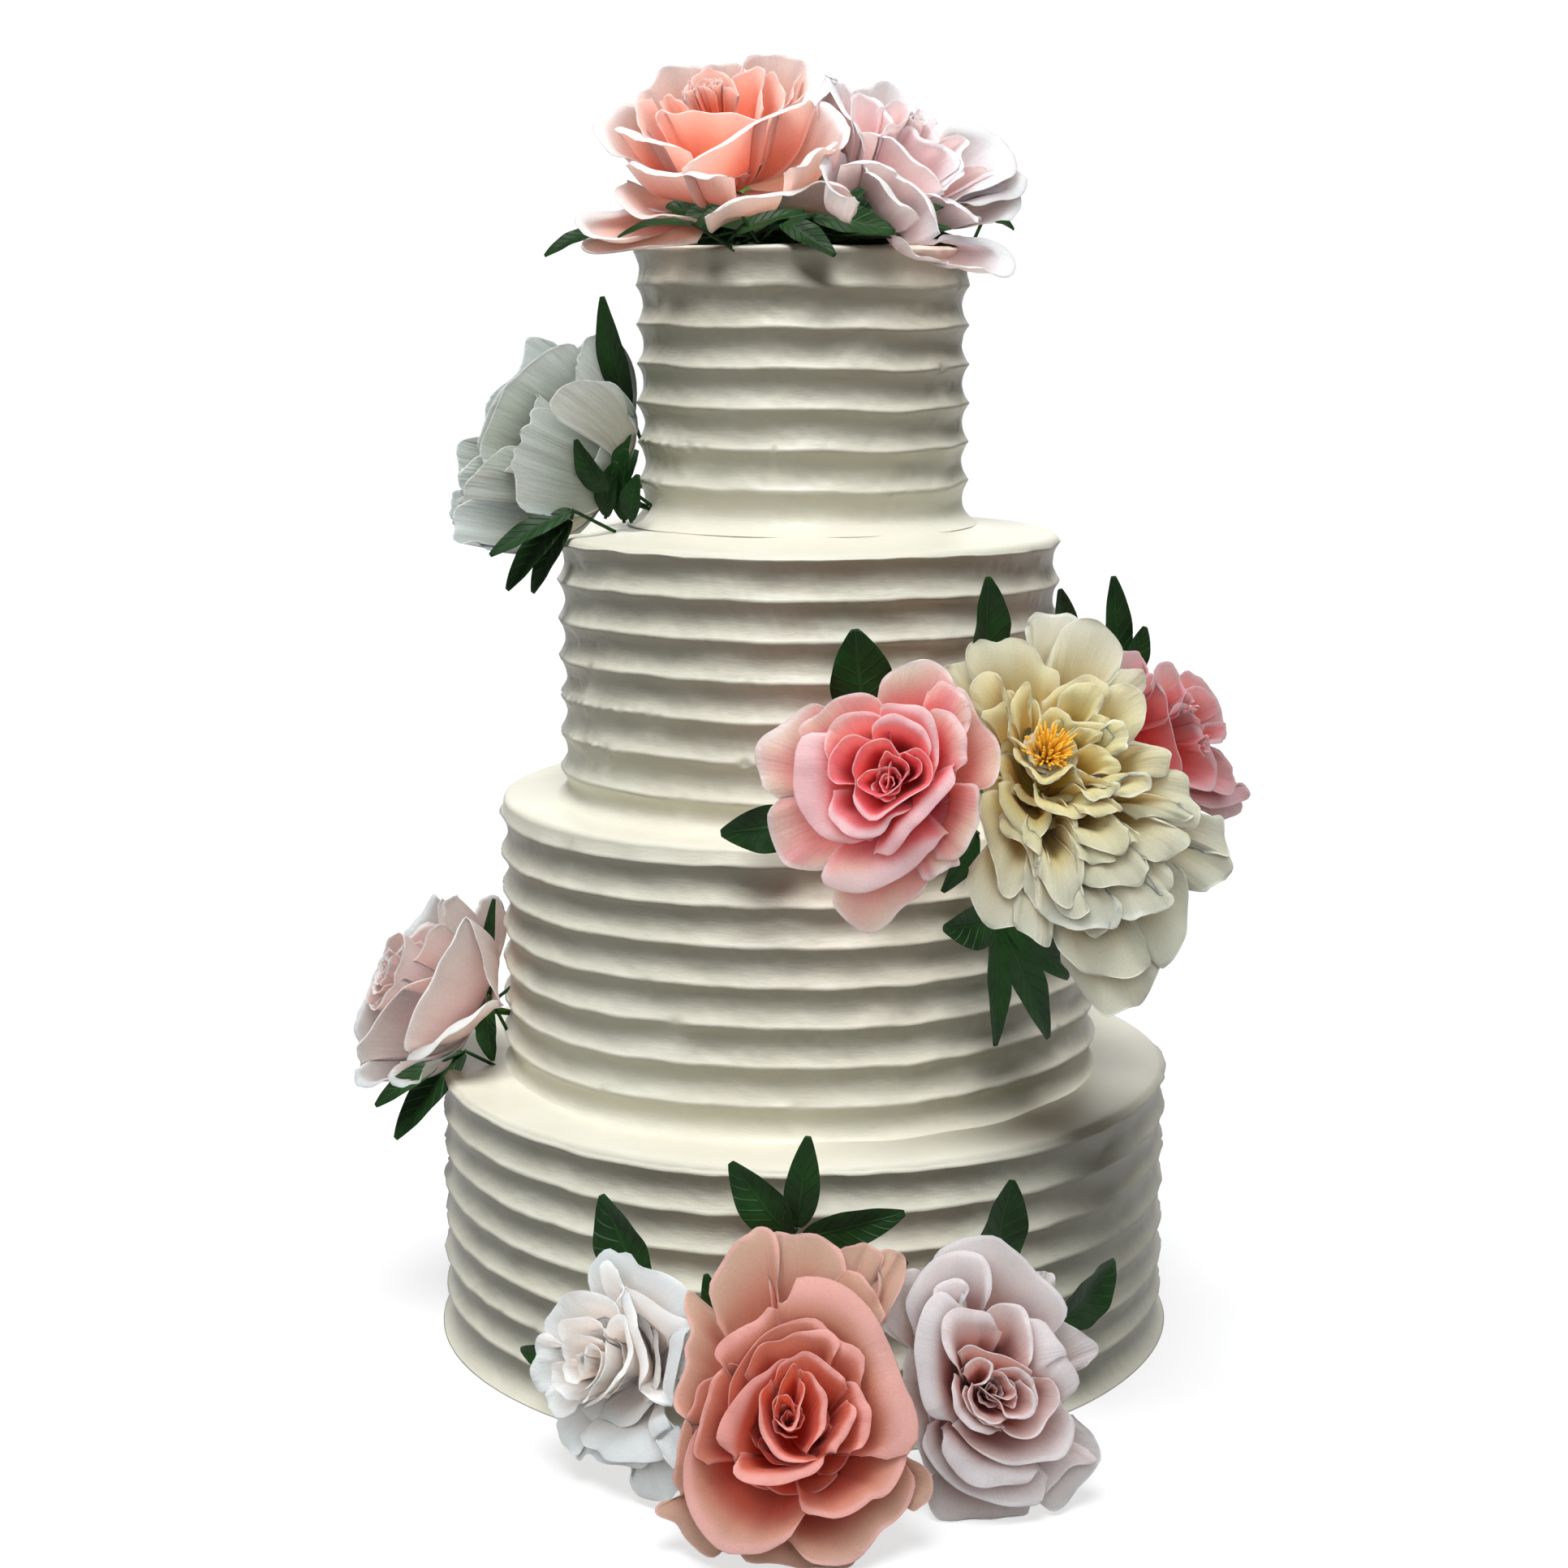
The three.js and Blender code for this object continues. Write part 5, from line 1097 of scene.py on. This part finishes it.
leaf_green = leaf_finish("leaf", (16, 44, 14), (28, 68, 22), (34, 74, 28))
for name, (tier, face, leaves) in SPRIGS.items():
    node = np.array(leaves[0][0], float)
    root = stem_foot(node + 0.5 * (node - np.array(leaves[0][1])), TIERS[tier])
    skins = []
    for number, (start, end, width, *bow) in enumerate(leaves):
        start = np.array(start, float)
        run = np.array(end) - start
        outward = np.array(face) if face else (start + 0.5 * run) * (1, 1, 0)
        sideways = np.cross(run, outward)
        sideways /= np.linalg.norm(sideways)
        normal = np.cross(sideways, run)
        normal /= np.linalg.norm(normal)
        bow = bow[0] if bow else USUAL_BOW
        skins.append(skin_with_map(*blade_rings(start, run, sideways, normal, width, bow)))
        origin = node if number else root
        if np.linalg.norm(start - origin) > 0.5:    # its stalk, a little way into the leaf
            way = np.linspace(0, 1.04, 6)[:, None]
            skins.append(wire_skin(origin + way * (start - origin), [STALK_END] * 6))
    points, faces, places = several_skins(skins)
    shown_piece(f"{name}_fabric", points, faces, leaf_green, "leaf", name, places)

# ---------------------------------------------------------------------------------------------
# The set: a pale floor inside a white dome, with soft light from above and a little in front, and
# some from behind
# ---------------------------------------------------------------------------------------------

SET_RADIUS = 7               # metres, as all lengths in this section


def backdrop(name, points, faces, grey, glow, roughness):
    """A part of the set: matt, and glowing so that it comes out pale and even."""
    material, _, shade = new_finish(name)
    shade(Base_Color=(grey, grey, grey, 1), Roughness=roughness, Emission_Color=(1, 1, 1, 1),
          Emission_Strength=glow)
    made = new_object(name, points, faces, material)
    made.visible_diffuse = False
    return made


turn = np.linspace(0, 2 * pi, 64, endpoint=False)
disc = np.stack([SET_RADIUS * np.cos(turn), SET_RADIUS * np.sin(turn), np.full(64, -0.0002)], -1)
floor = backdrop("floor", disc, [list(range(64))], 0.3, 0.7, 0.8)
way = np.linspace(0, 0.5 * pi, 17)[:-1, None]
dome = SET_RADIUS * np.stack(np.broadcast_arrays(np.cos(way) * np.cos(turn), np.cos(way) * np.sin(turn),
                                                 np.sin(way)), -1)
surround = backdrop("surround", *closed_skin(dome - np.array([0, 0, 0.4])), 0.0, 1.0, 1.0)
surround.visible_glossy = surround.visible_shadow = surround.visible_transmission = False

# Silk lets light through and buttercream doesn't, so the flowers get a softer pair of lamps of their
# own, a near one above them and a fill in front, and shade only the lowest tier and the floor.
silk, lowest, upper, not_silk = (bpy.data.collections.new(name) for name in (
    "silk", "lowest tier", "all but silk and lowest tier", "all but silk"))
for piece in list(bpy.context.scene.collection.objects):
    groups = ()
    if piece.name.endswith(("_petals", "_stamens")):
        groups = silk, upper, not_silk
    elif piece.name in ("tier_1_icing", "floor"):
        groups = lowest, upper
    for group in groups:
        group.objects.link(piece)
for linking in [*upper.collection_objects, *not_silk.collection_objects]:
    linking.light_linking.link_state = "EXCLUDE"


def lamp(name, kind, place, aim, strength, colour, lit):
    """A lamp at a place, turned to an aim, that lights one collection."""
    data = bpy.data.lights.new(name, kind)
    data.energy, data.color = strength, colour
    light = bpy.data.objects.new(name, data)
    light.location = place
    light.rotation_euler = (Vector(place) - Vector(aim)).to_track_quat("Z", "Y").to_euler()
    light.light_linking.receiver_collection = lit
    bpy.context.scene.collection.objects.link(light)
    return light


# where a sun stands, its strength, how many degrees wide it is, its colour and what it lights
for name, place, strength, spread, colour, lit in (
        ("key", (-0.06, -0.36, 0.93), 3.5, 28, (0.97, 0.98, 1.0), upper),
        ("lowest key", (-0.06, -0.36, 0.93), 3.3, 28, (0.97, 0.98, 1.0), lowest),
        ("overhead", (0.1, 0.0, 1.0), 0.3, 60, (0.98, 0.99, 1.0), not_silk),
        ("back", (0.0, 0.99, 0.12), 1.0, 60, (0.97, 0.98, 1.0), not_silk),
        ("silk fill", (-0.1, -0.55, 0.83), 3.8, 125, (1.0, 0.99, 0.97), silk)):
    sun = lamp(name, "SUN", place, (0, 0, 0), strength, colour, lit)
    sun.data.angle = radians(spread)
    sun.light_linking.blocker_collection = not_silk if name == "key" else None
near = lamp("silk key", "AREA", (-0.3, -0.45, 1.65), (0, -0.1, 0.35), 10, (1.0, 0.99, 0.98), silk)
near.data.size = 0.7
near.visible_camera = False

world = bpy.data.worlds.new("world")
world.use_nodes = True
add, shade = node_tools(world.node_tree, "Background")
rise = add("SeparateXYZ", add("TexCoord", output="Generated"), output="Z")
glow = add("MapRange", rise, From_Min=-0.3, From_Max=0.3, To_Min=0.08, To_Max=0.05)
shade(Color=(1.0, 0.98, 0.88, 1), Strength=glow)
bpy.context.scene.world = world
bpy.context.scene.view_settings.view_transform = "Standard"
